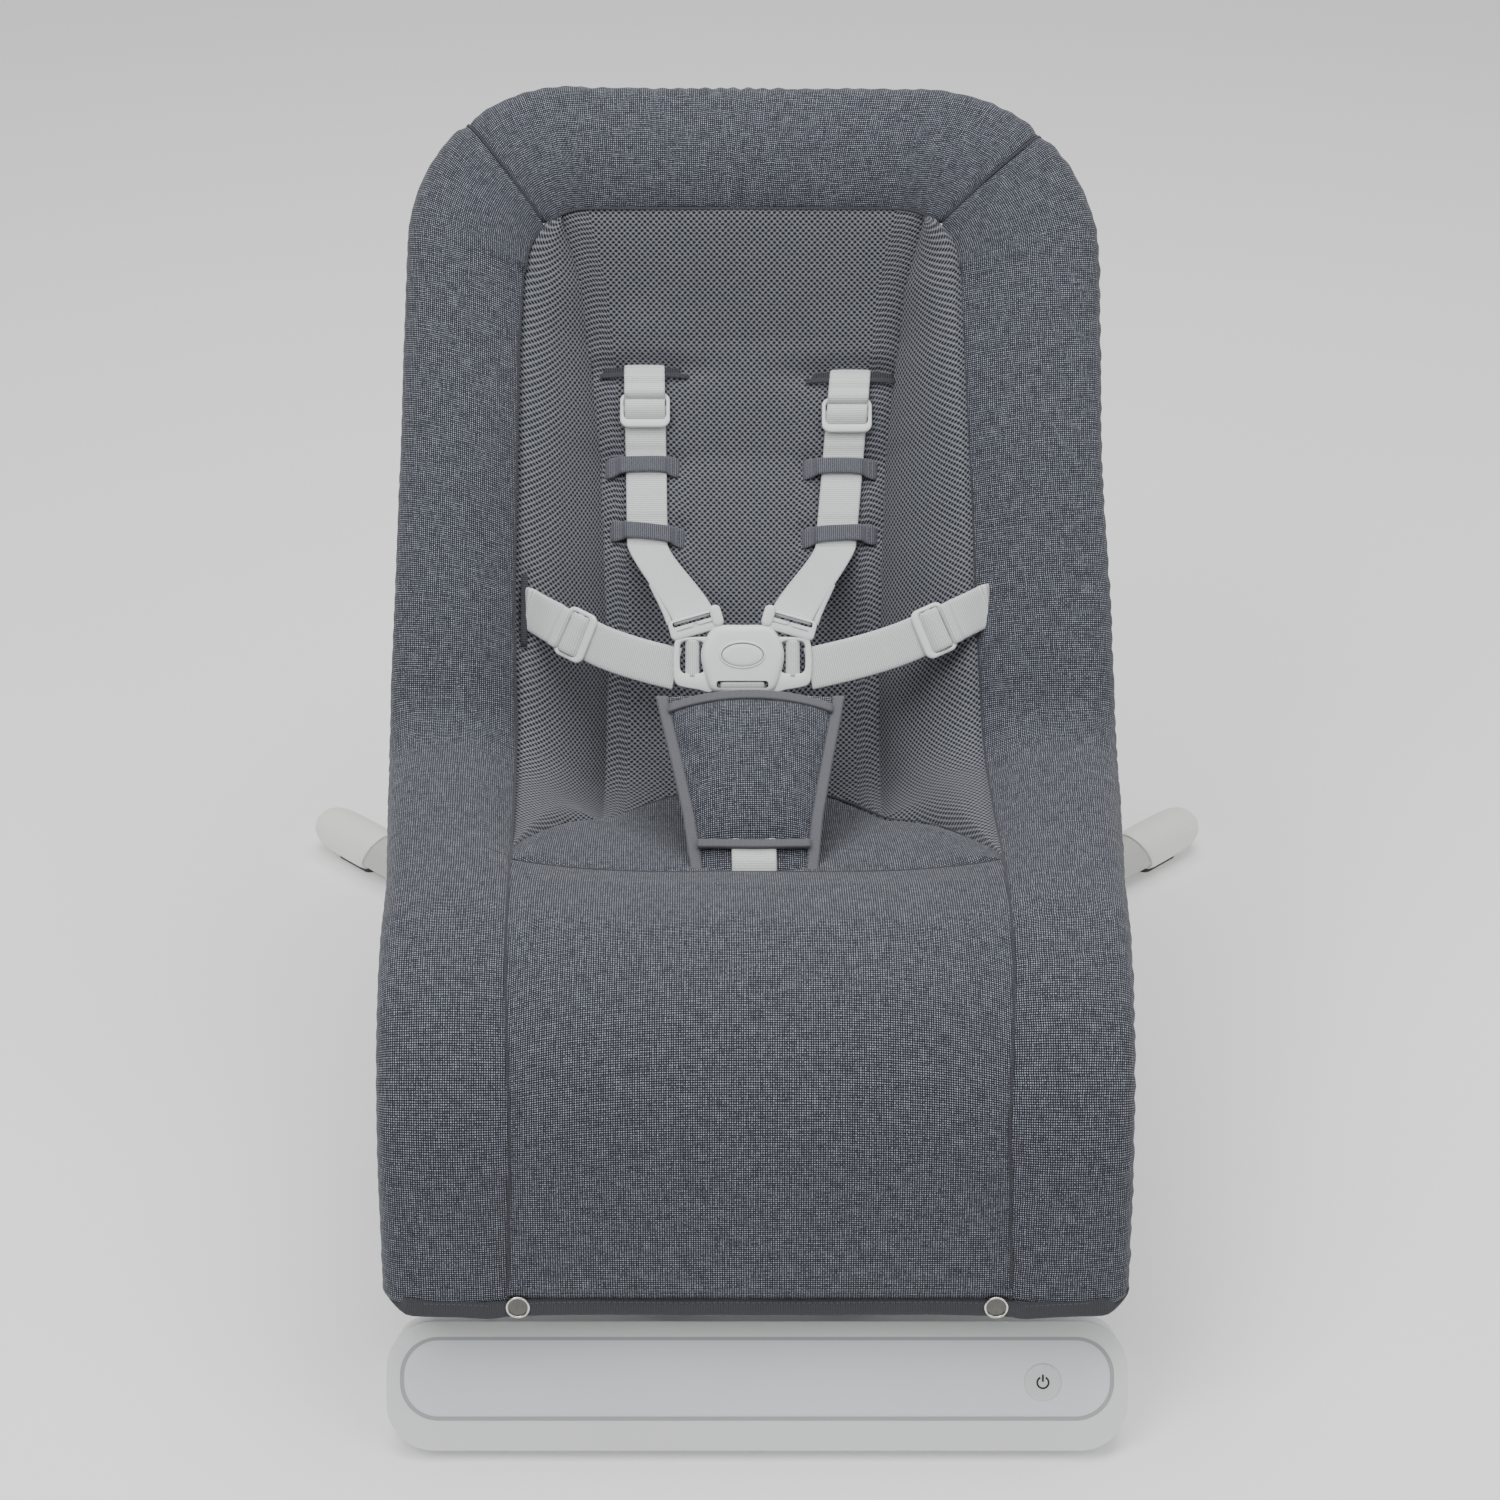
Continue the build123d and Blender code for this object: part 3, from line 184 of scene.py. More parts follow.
def flatStrap(name, centres, across, widths, thickness, material, facing=(0, -0.85, 0.53)):
    # band with rounded selvedges through points, its width along across
    centres = np.asarray(centres, float)
    across = unit(np.broadcast_to(across, centres.shape))
    widths = np.broadcast_to(widths, len(centres))
    tangent = unit(np.gradient(centres, axis=0))
    normal = unit(np.cross(across, tangent))
    if np.dot(normal.mean(axis=0), facing) < 0:
        normal = -normal
    length = np.concatenate([[0], np.cumsum(np.linalg.norm(np.diff(centres, axis=0), axis=1))])
    shares = np.array([-1, -0.94, -0.8, -0.5, -0.2, 0.2, 0.5, 0.8, 0.94, 1])
    rise = np.array([0, 0.7, 1, 1, 1, 1, 1, 1, 0.7, 0]) * thickness / 2
    loops, cloth = [], []
    for c, a, n, w, along in zip(centres, across, normal, widths, length):
        loop = [c + a * w / 2 * u + n * r for u, r in zip(shares, rise)]
        loop += [c + a * w / 2 * u - n * r for u, r in zip(shares[-2:0:-1], rise[-2:0:-1])]
        loops.append(loop)
        cloth += [(w / 2 * u, along, 0) for u in shares] + [(w / 2 * u, along, 0) for u in shares[-2:0:-1]]
    return loft(name, loops, [material], "seat", cloth=np.array(cloth))


def webStrap(name, centres, across, width=25.0, thickness=1.6):
    # harness webbing
    return flatStrap(name, centres, across, width, thickness, webbing)


def stitchRow(name, points, normals, pitch, length, radius):
    # separate thread stitches lying along a line
    points = np.asarray(points, float)
    normals = np.broadcast_to(normals, points.shape)
    along = np.concatenate([[0], np.cumsum(np.linalg.norm(np.diff(points, axis=0), axis=1))])
    starts = np.arange(pitch * 0.3, along[-1] - length, pitch)

    def at(distance, values):
        return np.array([np.interp(distance, along, values[:, k]) for k in range(3)])

    allPoints, faces = [], []
    for start in starts:
        a, b = at(start, points), at(start + length, points)
        up = unit(at(start + length / 2, normals))
        side = unit(np.cross(b - a, up))
        base = len(allPoints)
        for share, size in ((0, 0.35), (0.25, 0.9), (0.5, 1.0), (0.75, 0.9), (1, 0.35)):
            middle = a + (b - a) * share
            for turn in range(6):
                angle = math.radians(60 * turn)
                offset = math.cos(angle) * side + 0.8 * math.sin(angle) * up
                allPoints.append(middle + radius * size * offset)
        faces += gridFaces(5, 6, base, closed=True)
        faces += [[base + k for k in range(5, -1, -1)], [base + 24 + k for k in range(6)]]
    return pieceMesh(name, allPoints, faces, [stitchThread], "seat")


def cutAway(piece, cutters):
    # boolean difference with closed helper meshes, applied to the mesh
    for cutter in cutters:
        change = piece.modifiers.new("cut", "BOOLEAN")
        change.object = cutter
        change.solver = "EXACT"
    bpy.context.view_layer.update()
    made = bpy.data.meshes.new_from_object(piece.evaluated_get(bpy.context.evaluated_depsgraph_get()))
    piece.modifiers.clear()
    piece.data = made
    for cutter in cutters:
        bpy.data.objects.remove(cutter)


def helperPrism(plane, outline, low, high):
    # closed prism used only as a cutter
    loops = [onPlane(plane, np.column_stack([outline, np.full(len(outline), h)])) * mm for h in (low, high)]
    count = len(outline)
    faces = gridFaces(2, count, closed=True)
    faces += [list(range(count - 1, -1, -1)), list(range(count, 2 * count))]
    mesh = bpy.data.meshes.new("cutter")
    mesh.from_pydata([tuple(p) for p in np.concatenate(loops)], [], faces)
    cutter = bpy.data.objects.new("cutter", mesh)
    bpy.context.scene.collection.objects.link(cutter)
    return cutter


def filletPath(points, radii, lineSteps, arcSteps):
    # straight runs joined by tangent arcs, as a list of points
    corners = [np.array(p, float) for p in points]
    path, start = [corners[0]], corners[0]
    for i in range(1, len(corners) - 1):
        toward = corners[i - 1] - corners[i]
        onward = corners[i + 1] - corners[i]
        toward, onward = toward / np.linalg.norm(toward), onward / np.linalg.norm(onward)
        half = math.acos(np.dot(toward, onward)) / 2
        radius = radii[i - 1]
        begin = corners[i] + toward * radius / math.tan(half)
        bisector = (toward + onward) / np.linalg.norm(toward + onward)
        centre = corners[i] + bisector * radius / math.sin(half)
        path += [start + (begin - start) * k / lineSteps[i - 1] for k in range(1, lineSteps[i - 1] + 1)]
        first = (begin - centre) / radius
        for k in range(1, arcSteps[i - 1] + 1):
            turn = (math.pi - 2 * half) * k / arcSteps[i - 1]
            path.append(centre + radius * (first * math.cos(turn) - toward * math.sin(turn)))
        start = path[-1]
    path += [start + (corners[-1] - start) * k / lineSteps[-1] for k in range(1, lineSteps[-1] + 1)]
    return np.array(path)


def smoothLine(points, step=2.0):
    # even points on a smooth curve through given ones
    given = np.array(points, float)
    ends = np.vstack([2 * given[0] - given[1], given, 2 * given[-1] - given[-2]])
    dense = []
    for i in range(1, len(ends) - 2):
        p0, p1, p2, p3 = ends[i - 1:i + 3]
        for t in np.linspace(0, 1, 24, endpoint=False):
            dense.append(0.5 * (2 * p1 + (p2 - p0) * t + (2 * p0 - 5 * p1 + 4 * p2 - p3) * t ** 2
                                + (3 * p1 - p0 - 3 * p2 + p3) * t ** 3))
    dense = np.array(dense + [given[-1]])
    length = np.concatenate([[0], np.cumsum(np.linalg.norm(np.diff(dense, axis=0), axis=1))])
    count = max(2, int(length[-1] / step) + 1)
    return np.stack([np.interp(np.linspace(0, length[-1], count), length, dense[:, k])
                     for k in range(dense.shape[1])], axis=1)


def ease(t):
    t = np.clip(t, 0, 1)
    return t * t * (3 - 2 * t)


def ripple(x, y, z, size, seed=0.0):
    return noise.noise(Vector((x / size + seed, y / size - seed, z / size + 2 * seed)))


# materials
def newMaterial(name, colour, roughness, **inputs):
    material = bpy.data.materials.new(name)
    material.use_nodes = True
    shader = material.node_tree.nodes["Principled BSDF"]
    shader.inputs["Base Color"].default_value = (*colour, 1)
    shader.inputs["Roughness"].default_value = roughness
    for key, value in inputs.items():
        shader.inputs[key].default_value = value
    return material, material.node_tree, shader


def addNode(tree, kind, settings=None, **links):
    node = tree.nodes.new(kind)
    for key, value in (settings or {}).items():
        setattr(node, key, value)
    for key, value in links.items():
        socket = node.inputs[int(key[1:])] if key[0] == "i" and key[1:].isdigit() else node.inputs[key]
        if isinstance(value, bpy.types.NodeSocket):
            tree.links.new(value, socket)
        else:
            socket.default_value = value
    return node


def mathNode(tree, operation, a, b=0.0, c=0.0):
    return addNode(tree, "ShaderNodeMath", {"operation": operation}, i0=a, i1=b, i2=c).outputs[0]


def rampNode(tree, value, stops):
    node = addNode(tree, "ShaderNodeValToRGB", i0=value)
    elements = node.color_ramp.elements
    for i, (place, colour) in enumerate(stops):
        element = elements[i] if i < 2 else elements.new(place)
        element.position = place
        element.color = (*colour, 1)
    return node.outputs["Color"]


def bumpTo(tree, shader, height, strength, distance):
    bump = addNode(tree, "ShaderNodeBump", Height=height, Strength=strength, Distance=distance)
    tree.links.new(bump.outputs["Normal"], shader.inputs["Normal"])


def clothAxes(tree):
    place = addNode(tree, "ShaderNodeAttribute", {"attribute_name": "cloth"}).outputs["Vector"]
    split = addNode(tree, "ShaderNodeSeparateXYZ", i0=place)
    return place, split.outputs["X"], split.outputs["Y"]


def scaled(tree, vector, x, y, z=1.0):
    node = addNode(tree, "ShaderNodeVectorMath", {"operation": "MULTIPLY"}, i0=vector, i1=(x, y, z))
    return node.outputs[0]


def melangeMaterial(name, dark, light, pitch=0.00128):
    # plain weave of heathered yarns
    material, tree, shader = newMaterial(name, light, 0.93, **{
        "Sheen Weight": 0.12, "Sheen Roughness": 0.5, "Specular IOR Level": 0.2})
    place, u, v = clothAxes(tree)
    waves = [mathNode(tree, "SINE", mathNode(tree, "MULTIPLY", axis, math.pi / pitch)) for axis in (u, v)]
    over = mathNode(tree, "MULTIPLY", *waves)
    warp = addNode(tree, "ShaderNodeTexNoise", Vector=scaled(tree, place, 900, 110), Scale=1.0, Detail=2.0)
    weft = addNode(tree, "ShaderNodeTexNoise", Vector=scaled(tree, place, 110, 900), Scale=1.0, Detail=2.0)
    side = mathNode(tree, "MULTIPLY_ADD", over, 0.5, 0.5)
    yarn = addNode(tree, "ShaderNodeMix", {"data_type": "FLOAT"}, i0=side,
                   i2=warp.outputs[0], i3=weft.outputs[0]).outputs[0]
    tone = mathNode(tree, "MULTIPLY_ADD", yarn, 0.95, 0.1)
    value = mathNode(tree, "MULTIPLY", mathNode(tree, "ABSOLUTE", over), tone)
    middle = tuple(0.22 * (a + b) for a, b in zip(dark, light))
    tree.links.new(rampNode(tree, value, [(0.12, dark), (0.4, middle), (0.68, light)]),
                   shader.inputs["Base Color"])
    bumpTo(tree, shader, value, 0.7, 0.0005)
    return material


def spacerMaterial(name, hole, thread):
    # warp-knitted spacer cloth: staggered holes between raised threads
    material, tree, shader = newMaterial(name, thread, 0.8, **{
        "Sheen Weight": 0.1, "Specular IOR Level": 0.25})
    place = clothAxes(tree)[0]
    cell = scaled(tree, place, 1 / 0.0035, 1 / 0.0036, 0.0)
    nearest = None
    for shift in (0.0, 0.5):
        moved = addNode(tree, "ShaderNodeVectorMath", {"operation": "ADD"}, i0=cell, i1=(shift, shift, 0))
        part = addNode(tree, "ShaderNodeVectorMath", {"operation": "FRACTION"}, i0=moved.outputs[0])
        centred = addNode(tree, "ShaderNodeVectorMath", {"operation": "SUBTRACT"},
                          i0=part.outputs[0], i1=(0.5, 0.5, 0))
        size = addNode(tree, "ShaderNodeVectorMath", {"operation": "LENGTH"},
                       i0=scaled(tree, centred.outputs[0], 1.0, 1.15, 0.0)).outputs["Value"]
        nearest = size if nearest is None else mathNode(tree, "MINIMUM", nearest, size)
    fuzz = addNode(tree, "ShaderNodeTexNoise", Vector=place, Scale=900.0, Detail=1.0).outputs[0]
    value = mathNode(tree, "MULTIPLY_ADD", mathNode(tree, "SUBTRACT", fuzz, 0.5), 0.22, nearest)
    middle = tuple(0.5 * (a + b) for a, b in zip(hole, thread))
    tree.links.new(rampNode(tree, value, [(0.19, hole), (0.30, middle), (0.44, thread)]),
                   shader.inputs["Base Color"])
    bumpTo(tree, shader, mathNode(tree, "MINIMUM", value, 0.42), 0.8, 0.0012)
    return material


def ribbedMaterial(name, dark, light, pitch, roughness, alongY=True, strength=0.5):
    # woven tape with cross ribs
    material, tree, shader = newMaterial(name, light, roughness, **{
        "Sheen Weight": 0.15, "Specular IOR Level": 0.3})
    place, u, v = clothAxes(tree)
    axis = v if alongY else u
    rib = mathNode(tree, "SINE", mathNode(tree, "MULTIPLY", axis, 2 * math.pi / pitch))
    grain = addNode(tree, "ShaderNodeTexNoise", Vector=place, Scale=1600.0, Detail=2.0).outputs[0]
    value = mathNode(tree, "MULTIPLY_ADD", rib, 0.22, grain)
    tree.links.new(rampNode(tree, value, [(0.25, dark), (0.6, light)]), shader.inputs["Base Color"])
    bumpTo(tree, shader, value, strength, 0.0003)
    return material


def mouldedMaterial(name, colour, roughness, grain=0.0002, scale=1400.0, coat=0.0):
    # moulded plastic with a fine surface grain and slight tone drift
    material, tree, shader = newMaterial(name, colour, roughness, **{"Coat Weight": coat})
    place = addNode(tree, "ShaderNodeTexCoord").outputs["Object"]
    drift = addNode(tree, "ShaderNodeTexNoise", Vector=place, Scale=7.0, Detail=2.0).outputs[0]
    low, high = (tuple(c * k for c in colour) for k in (0.965, 1.03))
    tree.links.new(rampNode(tree, drift, [(0.3, low), (0.7, high)]), shader.inputs["Base Color"])
    fine = addNode(tree, "ShaderNodeTexNoise", Vector=place, Scale=scale, Detail=2.0).outputs[0]
    bumpTo(tree, shader, fine, 0.25, grain)
    return material


def metalMaterial(name, colour, roughness, stretch=(40, 40, 900)):
    material, tree, shader = newMaterial(name, colour, roughness, Metallic=1.0)
    place = addNode(tree, "ShaderNodeTexCoord").outputs["Object"]
    streak = addNode(tree, "ShaderNodeTexNoise", Vector=scaled(tree, place, *stretch), Scale=1.0,
                     Detail=3.0).outputs[0]
    low, high = (tuple(c * k for c in colour) for k in (0.88, 1.05))
    tree.links.new(rampNode(tree, streak, [(0.3, low), (0.7, high)]), shader.inputs["Base Color"])
    bumpTo(tree, shader, streak, 0.15, 0.0001)
    return material


tones = {
    "melangeDark": (0.008, 0.009, 0.014), "melangeLight": (0.43, 0.46, 0.53),
    "meshHole": (0.004, 0.005, 0.008), "meshThread": (0.175, 0.183, 0.206),
    "bindingDark": (0.02, 0.021, 0.026), "bindingLight": (0.045, 0.047, 0.054),
    "webDark": (0.4, 0.415, 0.42), "webLight": (0.62, 0.64, 0.64),
    "buckle": (0.66, 0.68, 0.675), "housing": (0.66, 0.675, 0.67), "panel": (0.66, 0.7, 0.725),
    "tube": (0.5, 0.505, 0.49), "cap": (0.82, 0.83, 0.79),
}
melange = melangeMaterial("melangeWeave", tones["melangeDark"], tones["melangeLight"])
lining = melangeMaterial("liningWeave", (0.05, 0.054, 0.066), (0.13, 0.138, 0.155), 0.0008)
spacer = spacerMaterial("spacerMesh", tones["meshHole"], tones["meshThread"])
bindingTape = ribbedMaterial("bindingTape", tones["bindingDark"], tones["bindingLight"], 0.0009, 0.85)
keeperTape = ribbedMaterial("keeperTape", (0.02, 0.022, 0.03), (0.13, 0.135, 0.155), 0.0012, 0.9)
webbing = ribbedMaterial("harnessWebbing", tones["webDark"], tones["webLight"], 0.0013, 0.7, strength=0.35)
stitchThread = newMaterial("stitchThread", (0.075, 0.08, 0.095), 0.8)[0]
bucklePlastic = mouldedMaterial("bucklePlastic", tones["buckle"], 0.42)

snapMetal = metalMaterial("snapMetal", (0.68, 0.66, 0.62), 0.25, (300, 300, 300))
snapDome = metalMaterial("snapDome", (0.12, 0.118, 0.11), 0.28, (300, 300, 300))
# dark ribbed tape: painted shade in the seams' valleys and in the slit openings
paintedShadeTape = ribbedMaterial("paintedShadeTape", (0.01, 0.011, 0.015), (0.05, 0.052, 0.062), 0.0014, 0.95)
padBinding = ribbedMaterial("padBinding", (0.06, 0.062, 0.072), (0.115, 0.118, 0.13), 0.0007, 0.8,
                            strength=0.25)
housingPlastic = mouldedMaterial("housingPlastic", tones["housing"], 0.5, 0.00012, 2600)
panelGloss = mouldedMaterial("panelGloss", tones["panel"], 0.16, 0.00002, 900, coat=0.3)
# the trim ring's own grey plastic, darkened further as painted shade of the groove round the panel
trimPlasticAndShade = mouldedMaterial("trimPlasticAndShade", (0.36, 0.37, 0.375), 0.3)
buttonPlastic = mouldedMaterial("buttonPlastic", (0.6, 0.615, 0.62), 0.32)
markInk = newMaterial("markInk", (0.012, 0.014, 0.018), 0.6)[0]
hubPlastic = mouldedMaterial("hubPlastic", (0.5, 0.51, 0.505), 0.5)
capPlastic = mouldedMaterial("capPlastic", tones["cap"], 0.48)
coatedTube = mouldedMaterial("coatedTube", tones["tube"], 0.38, 0.00015, 3200)
frameTube = mouldedMaterial("frameTube", (0.3, 0.305, 0.31), 0.4, 0.00015, 3200)
darkPlastic = mouldedMaterial("darkPlastic", (0.05, 0.052, 0.056), 0.5)
softRubber = mouldedMaterial("softRubber", (0.06, 0.06, 0.062), 0.8)
boardGreen = mouldedMaterial("boardGreen", (0.02, 0.12, 0.05), 0.45)
cellJacket = mouldedMaterial("cellJacket", (0.25, 0.26, 0.28), 0.3)
zincSteel = metalMaterial("zincSteel", (0.6, 0.61, 0.62), 0.32)
copperWire = metalMaterial("copperWire", (0.7, 0.32, 0.17), 0.35, (900, 900, 60))

print("materials ready")

# shape of the seat
seat = {
    "bendY": 5.5, "bendZ": 257.0, "bendRadius": 70.0, "backAngle": 50.0, "backLength": 395.0,
    "kneeY": -282.5, "kneeZ": 262.0, "kneeRadius": 105.0, "hemY": -303.5, "hemZ": 110.0,
    "backHalf": 192.0, "frontHalf": 187.0, "jointY": -52.5, "topCorner": {-1: 84.0, 1: 93.0},
    "seamCorner": 37.0, "topBand": 61.0, "crown": 16.5, "insertShift": -8.5, "crotchY": -113.5,
}
backDir = np.array([math.cos(math.radians(seat["backAngle"])), math.sin(math.radians(seat["backAngle"]))])
bendPoint = np.array([seat["bendY"], seat["bendZ"]])
topPoint = bendPoint + backDir * seat["backLength"]
hemPoint = np.array([seat["hemY"], seat["hemZ"]])
kneePoint = np.array([seat["kneeY"], seat["kneeZ"]])
dropUp = (kneePoint - hemPoint) / np.linalg.norm(kneePoint - hemPoint)
sideLine = filletPath([hemPoint - dropUp * 40, kneePoint, bendPoint, topPoint + backDir * 40],
                      [seat["kneeRadius"], seat["bendRadius"]], [60, 80, 200], [60, 40])
sideLength = np.concatenate([[0], np.cumsum(np.linalg.norm(np.diff(sideLine, axis=0), axis=1))]) - 40
sideTangent = np.gradient(sideLine, axis=0)
sideTangent /= np.linalg.norm(sideTangent, axis=1)[:, None]
topS = sideLength[-1] - 40                      # stations are distances up from the hem tube
flatPart = np.abs(sideLine[:, 0] - seat["crotchY"]) < 45
crotchS = float(np.interp(seat["crotchY"], sideLine[flatPart][:, 0], sideLength[flatPart]))
bendS = topS - seat["backLength"]               # where the back's straight line would start
insertTopS = topS - seat["topBand"]


def sideAt(s):
    y, z = (np.interp(s, sideLength, sideLine[:, k]) for k in (0, 1))
    ty, tz = (np.interp(s, sideLength, sideTangent[:, k]) for k in (0, 1))
    size = np.hypot(ty, tz)
    return y, z, -tz / size, ty / size


def tubeX(y):
    share = np.clip((seat["jointY"] - y) / (seat["jointY"] - seat["kneeY"]), 0, 1)
    return seat["backHalf"] + (seat["frontHalf"] - seat["backHalf"]) * share


def onSeat(x, s, lift):
    # point at x across and s along, lifted off the line of the side tubes
    y, z, ny, nz = sideAt(s)
    return np.stack([x + 0 * y, y + lift * ny, z + lift * nz], axis=-1)


def rimSeamLift(s):
    # the rim's inner seam, above the side tubes' line
    return 14.5 - 13.0 * ease((s - crotchS + 70) / 110) + 3.0 * ease((s - insertTopS + 70) / 70)


def centreLift(s):
    # middle of the seat: over the knee, down to the low point, up the back
    stops = [-20, 60, 150, crotchS - 95, crotchS - 45, crotchS, crotchS + 60, bendS, bendS + 60,
             bendS + 190, bendS + 260, insertTopS, insertTopS + 40]
    lifts = [17, 17, 17, 14, 5, -12, -29, -44, -46, -44, -29, 3.5, 6]
    return np.interp(s, stops, lifts)


def seamX(side, s):
    # the rim's inner seams, from the centre plane; the right one leans in up the back
    left = np.interp(s, [0, 90, 170, crotchS, 480, 650, insertTopS], [134, 131, 135, 139, 145, 144, 140])
    right = np.interp(s, [0, 90, 170, crotchS, bendS, 550, 650, insertTopS],
                      [137, 134, 138, 138, 134, 129, 125, 122])
    return np.where(np.asarray(side) < 0, left, right)


def crotchLine(x):
    return crotchS - 3 - 20.0 * np.abs(x / 141) ** 3


def insertLine(x):
    # where the padded insert starts, an arc that meets the crotch seam at the sides
    share = np.clip(np.abs(x + 3) / 141, 0, 1)
    return np.maximum(crotchS - 20 + 136 * (1 - share ** 3), crotchLine(x) + 4)


def insertHalf(s):
    return np.interp(s, [crotchS, bendS + 60, bendS + 200, bendS + 290, insertTopS],
                     [84, 82, 88, 99, 112])


def insertOuter(side, s):
    # the insert's side edge, rounded at its top corners
    corner = seat["seamCorner"]
    down = np.clip(insertTopS - s, 0, corner)
    return seamX(side, s) - corner + np.sqrt(corner ** 2 - (corner - down) ** 2)


def seatLift(x, s):
    # the seat's surface before the panels puff out
    centre, seam = centreLift(s), rimSeamLift(s)
    share = np.clip(np.abs(x) / seamX(x, s), 0, 1)
    power = 3.0 + 2.0 * (1 - ease((s - crotchS + 60) / 100))
    pan = seam + (centre - seam) * (1 - share ** power)
    inner, outer = insertHalf(s), insertOuter(x, s)
    t = np.clip((np.abs(x - seat["insertShift"]) - inner) / np.maximum(outer - inner + 4, 6), 0, 1)
    back = centre + (seam - centre) * (0.55 * t + 0.45 * np.sin(t * math.pi / 2))
    blend = ease((s - insertLine(x) + 15) / 55)
    return pan + (back - pan) * blend


def puffed(x, s, edge, puff, reach, wrinkle, seed):
    # padded panel: rises from its seams, with slack-cloth ripples
    rise = puff * (1 - np.exp(-edge / reach))
    ripples = np.vectorize(lambda a, b: ripple(a, b, 0, 46, seed) + 0.45 * ripple(a, b, 9, 19, seed))
    return seatLift(x, s) + rise + wrinkle * ripples(x, s) * np.minimum(edge / 12, 1)


def gridEdge(a, b, width, length):
    # distance to the nearest side of a panel from its grid position
    return np.minimum(np.minimum(a, 1 - a) * width, np.minimum(b, 1 - b) * length)


def flatCloth(x, s, lift, points):
    # flat position of a panel's cloth: across by width and lift, along by each column's own length
    steps = np.hypot(np.diff(x, axis=1), np.diff(lift, axis=1))
    across = np.concatenate([np.zeros((len(x), 1)), np.cumsum(steps, axis=1)], axis=1)
    across -= across[:, x.shape[1] // 2][:, None]
    run = np.cumsum(np.linalg.norm(np.diff(points, axis=0), axis=2), axis=0)
    along = s[-1] + np.concatenate([np.zeros((1, x.shape[1])), run]) - run[-1]
    return np.stack([across, along, 0 * across], axis=-1)


def panelPad(name, xOf, sOf, columns, rows, puff, thickness, materials, wrinkle, seed, node,
             extra=None, reach=5.0):
    a, b = np.meshgrid(np.linspace(0, 1, columns), np.linspace(0, 1, rows))
    a, b = (t + 0.62 * (ease(t) - t) for t in (a, b))  # closer rows and columns at the seams
    x = xOf(a, b)
    s = sOf(x, b)
    x = xOf(a, b, s)
    width, length = np.abs(x[:, -1] - x[:, 0]).mean(), np.abs(s[-1] - s[0]).mean()
    edge = gridEdge(a, b, width, length)
    lift = puffed(x, s, edge, puff, reach, wrinkle, seed)
    if extra is not None:
        lift = lift + extra(x, s)
    front = onSeat(x, s, lift)
    depth = 2.5 + (thickness - 2.5) * (1 - np.exp(-edge / 9.0))
    back = onSeat(x, s, lift - depth)
    pad = padFrom(name, front, back, materials, "seat", flatCloth(x, s, lift, front))
    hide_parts(node)
    return pad


# padded panels
panels = {"backPuff": 3.0, "bolsterPuff": 8.0, "seatPuff": 4.5, "legPuff": 2.2,
          "insertThickness": 12.0, "seatThickness": 12.0, "legThickness": 4.5, "seamGap": -0.4}
shift, gap = seat["insertShift"], panels["seamGap"]
slotStations = {"left": (-69.0, bendS + 243), "right": (57.0, bendS + 240)}
keeperStations = [(-70.0, bendS + 185), (-66.5, bendS + 143), (50.5, bendS + 184), (50.0, bendS + 142)]


def backDimples(x, s):
    # cloth pulled in where the shoulder straps' slots and the keepers are stitched through
    pull = np.zeros_like(x)
    for cx, cs in slotStations.values():
        pull -= 6.0 * np.exp(-((x - cx) / 34) ** 2 - ((s - cs) / 7) ** 2)
        pull += 2.0 * np.exp(-((x - cx) / 30) ** 2 - ((s - cs - 20) / 12) ** 2)
    for cx, cs in keeperStations:
        for end in (-1, 1):
            pull -= 3.2 * np.exp(-((x - cx - end * 19) / 7) ** 2 - ((s - cs) / 8) ** 2)
    return pull


def waistDimples(side):
    def pull(x, s):
        line = bendS + (84 if side < 0 else 90)
        return -5.0 * np.exp(-((np.abs(x) - 139) / 7) ** 2 - ((s - line) / 24) ** 2)
    return pull


def insertTopLine(x):
    # the insert's top seam, bowed up a little at the middle, tucked under the rim
    return insertTopS + 3.5 - 6.0 * (x / 141) ** 2


def centreX(a, b, s=None):
    s = crotchS + b * (insertTopS - crotchS) if s is None else s
    x = shift + (2 * a - 1) * (insertHalf(s) - gap)
    return np.clip(x, -insertOuter(-1, s) + 1, insertOuter(1, s) - 1)


panelPad(
    "insertCentre", centreX,
    lambda x, b: insertLine(x) + gap + b * (insertTopLine(x) - insertLine(x) - gap),
    90, 170, panels["backPuff"], panels["insertThickness"], [spacer, lining], 0.8, 1.3,
    "back_mesh_panel", extra=backDimples)


def bolster(side, name, node):
    def xOf(a, b, s=None):
        s = crotchS + b * (insertTopS - crotchS) if s is None else s
        inner = shift + side * (insertHalf(s) + gap)
        outer = side * (insertOuter(side, s) + 1.0)
        return inner + (outer - inner) * (a if side > 0 else 1 - a)

    def sOf(x, b):
        return insertLine(x) + gap + b * (insertTopLine(x) - 0.5 - insertLine(x) - gap)

    return panelPad(name, xOf, sOf, 44, 170, panels["bolsterPuff"], panels["insertThickness"],
                    [spacer, lining], 1.2, 4.1 + side, node,
                    extra=waistDimples(side), reach=9.0)


bolster(-1, "bolsterLeft", "bolster_left")
bolster(1, "bolsterRight", "bolster_right")


def seatX(a, b=None, s=crotchS):
    # from one rim seam to the other, the same at every row
    left, right = -seamX(-1, s) + gap, seamX(1, s) - gap
    return left + (right - left) * a


panelPad("seatPad", seatX,
         lambda x, b: crotchLine(x) + gap + b * (insertLine(x) - crotchLine(x) - 2 * gap),
         110, 70, panels["seatPuff"], panels["seatThickness"], [melange, lining], 0.9, 7.7,
         "seat_panel", reach=8.0)
print("insert and seat pad ready")


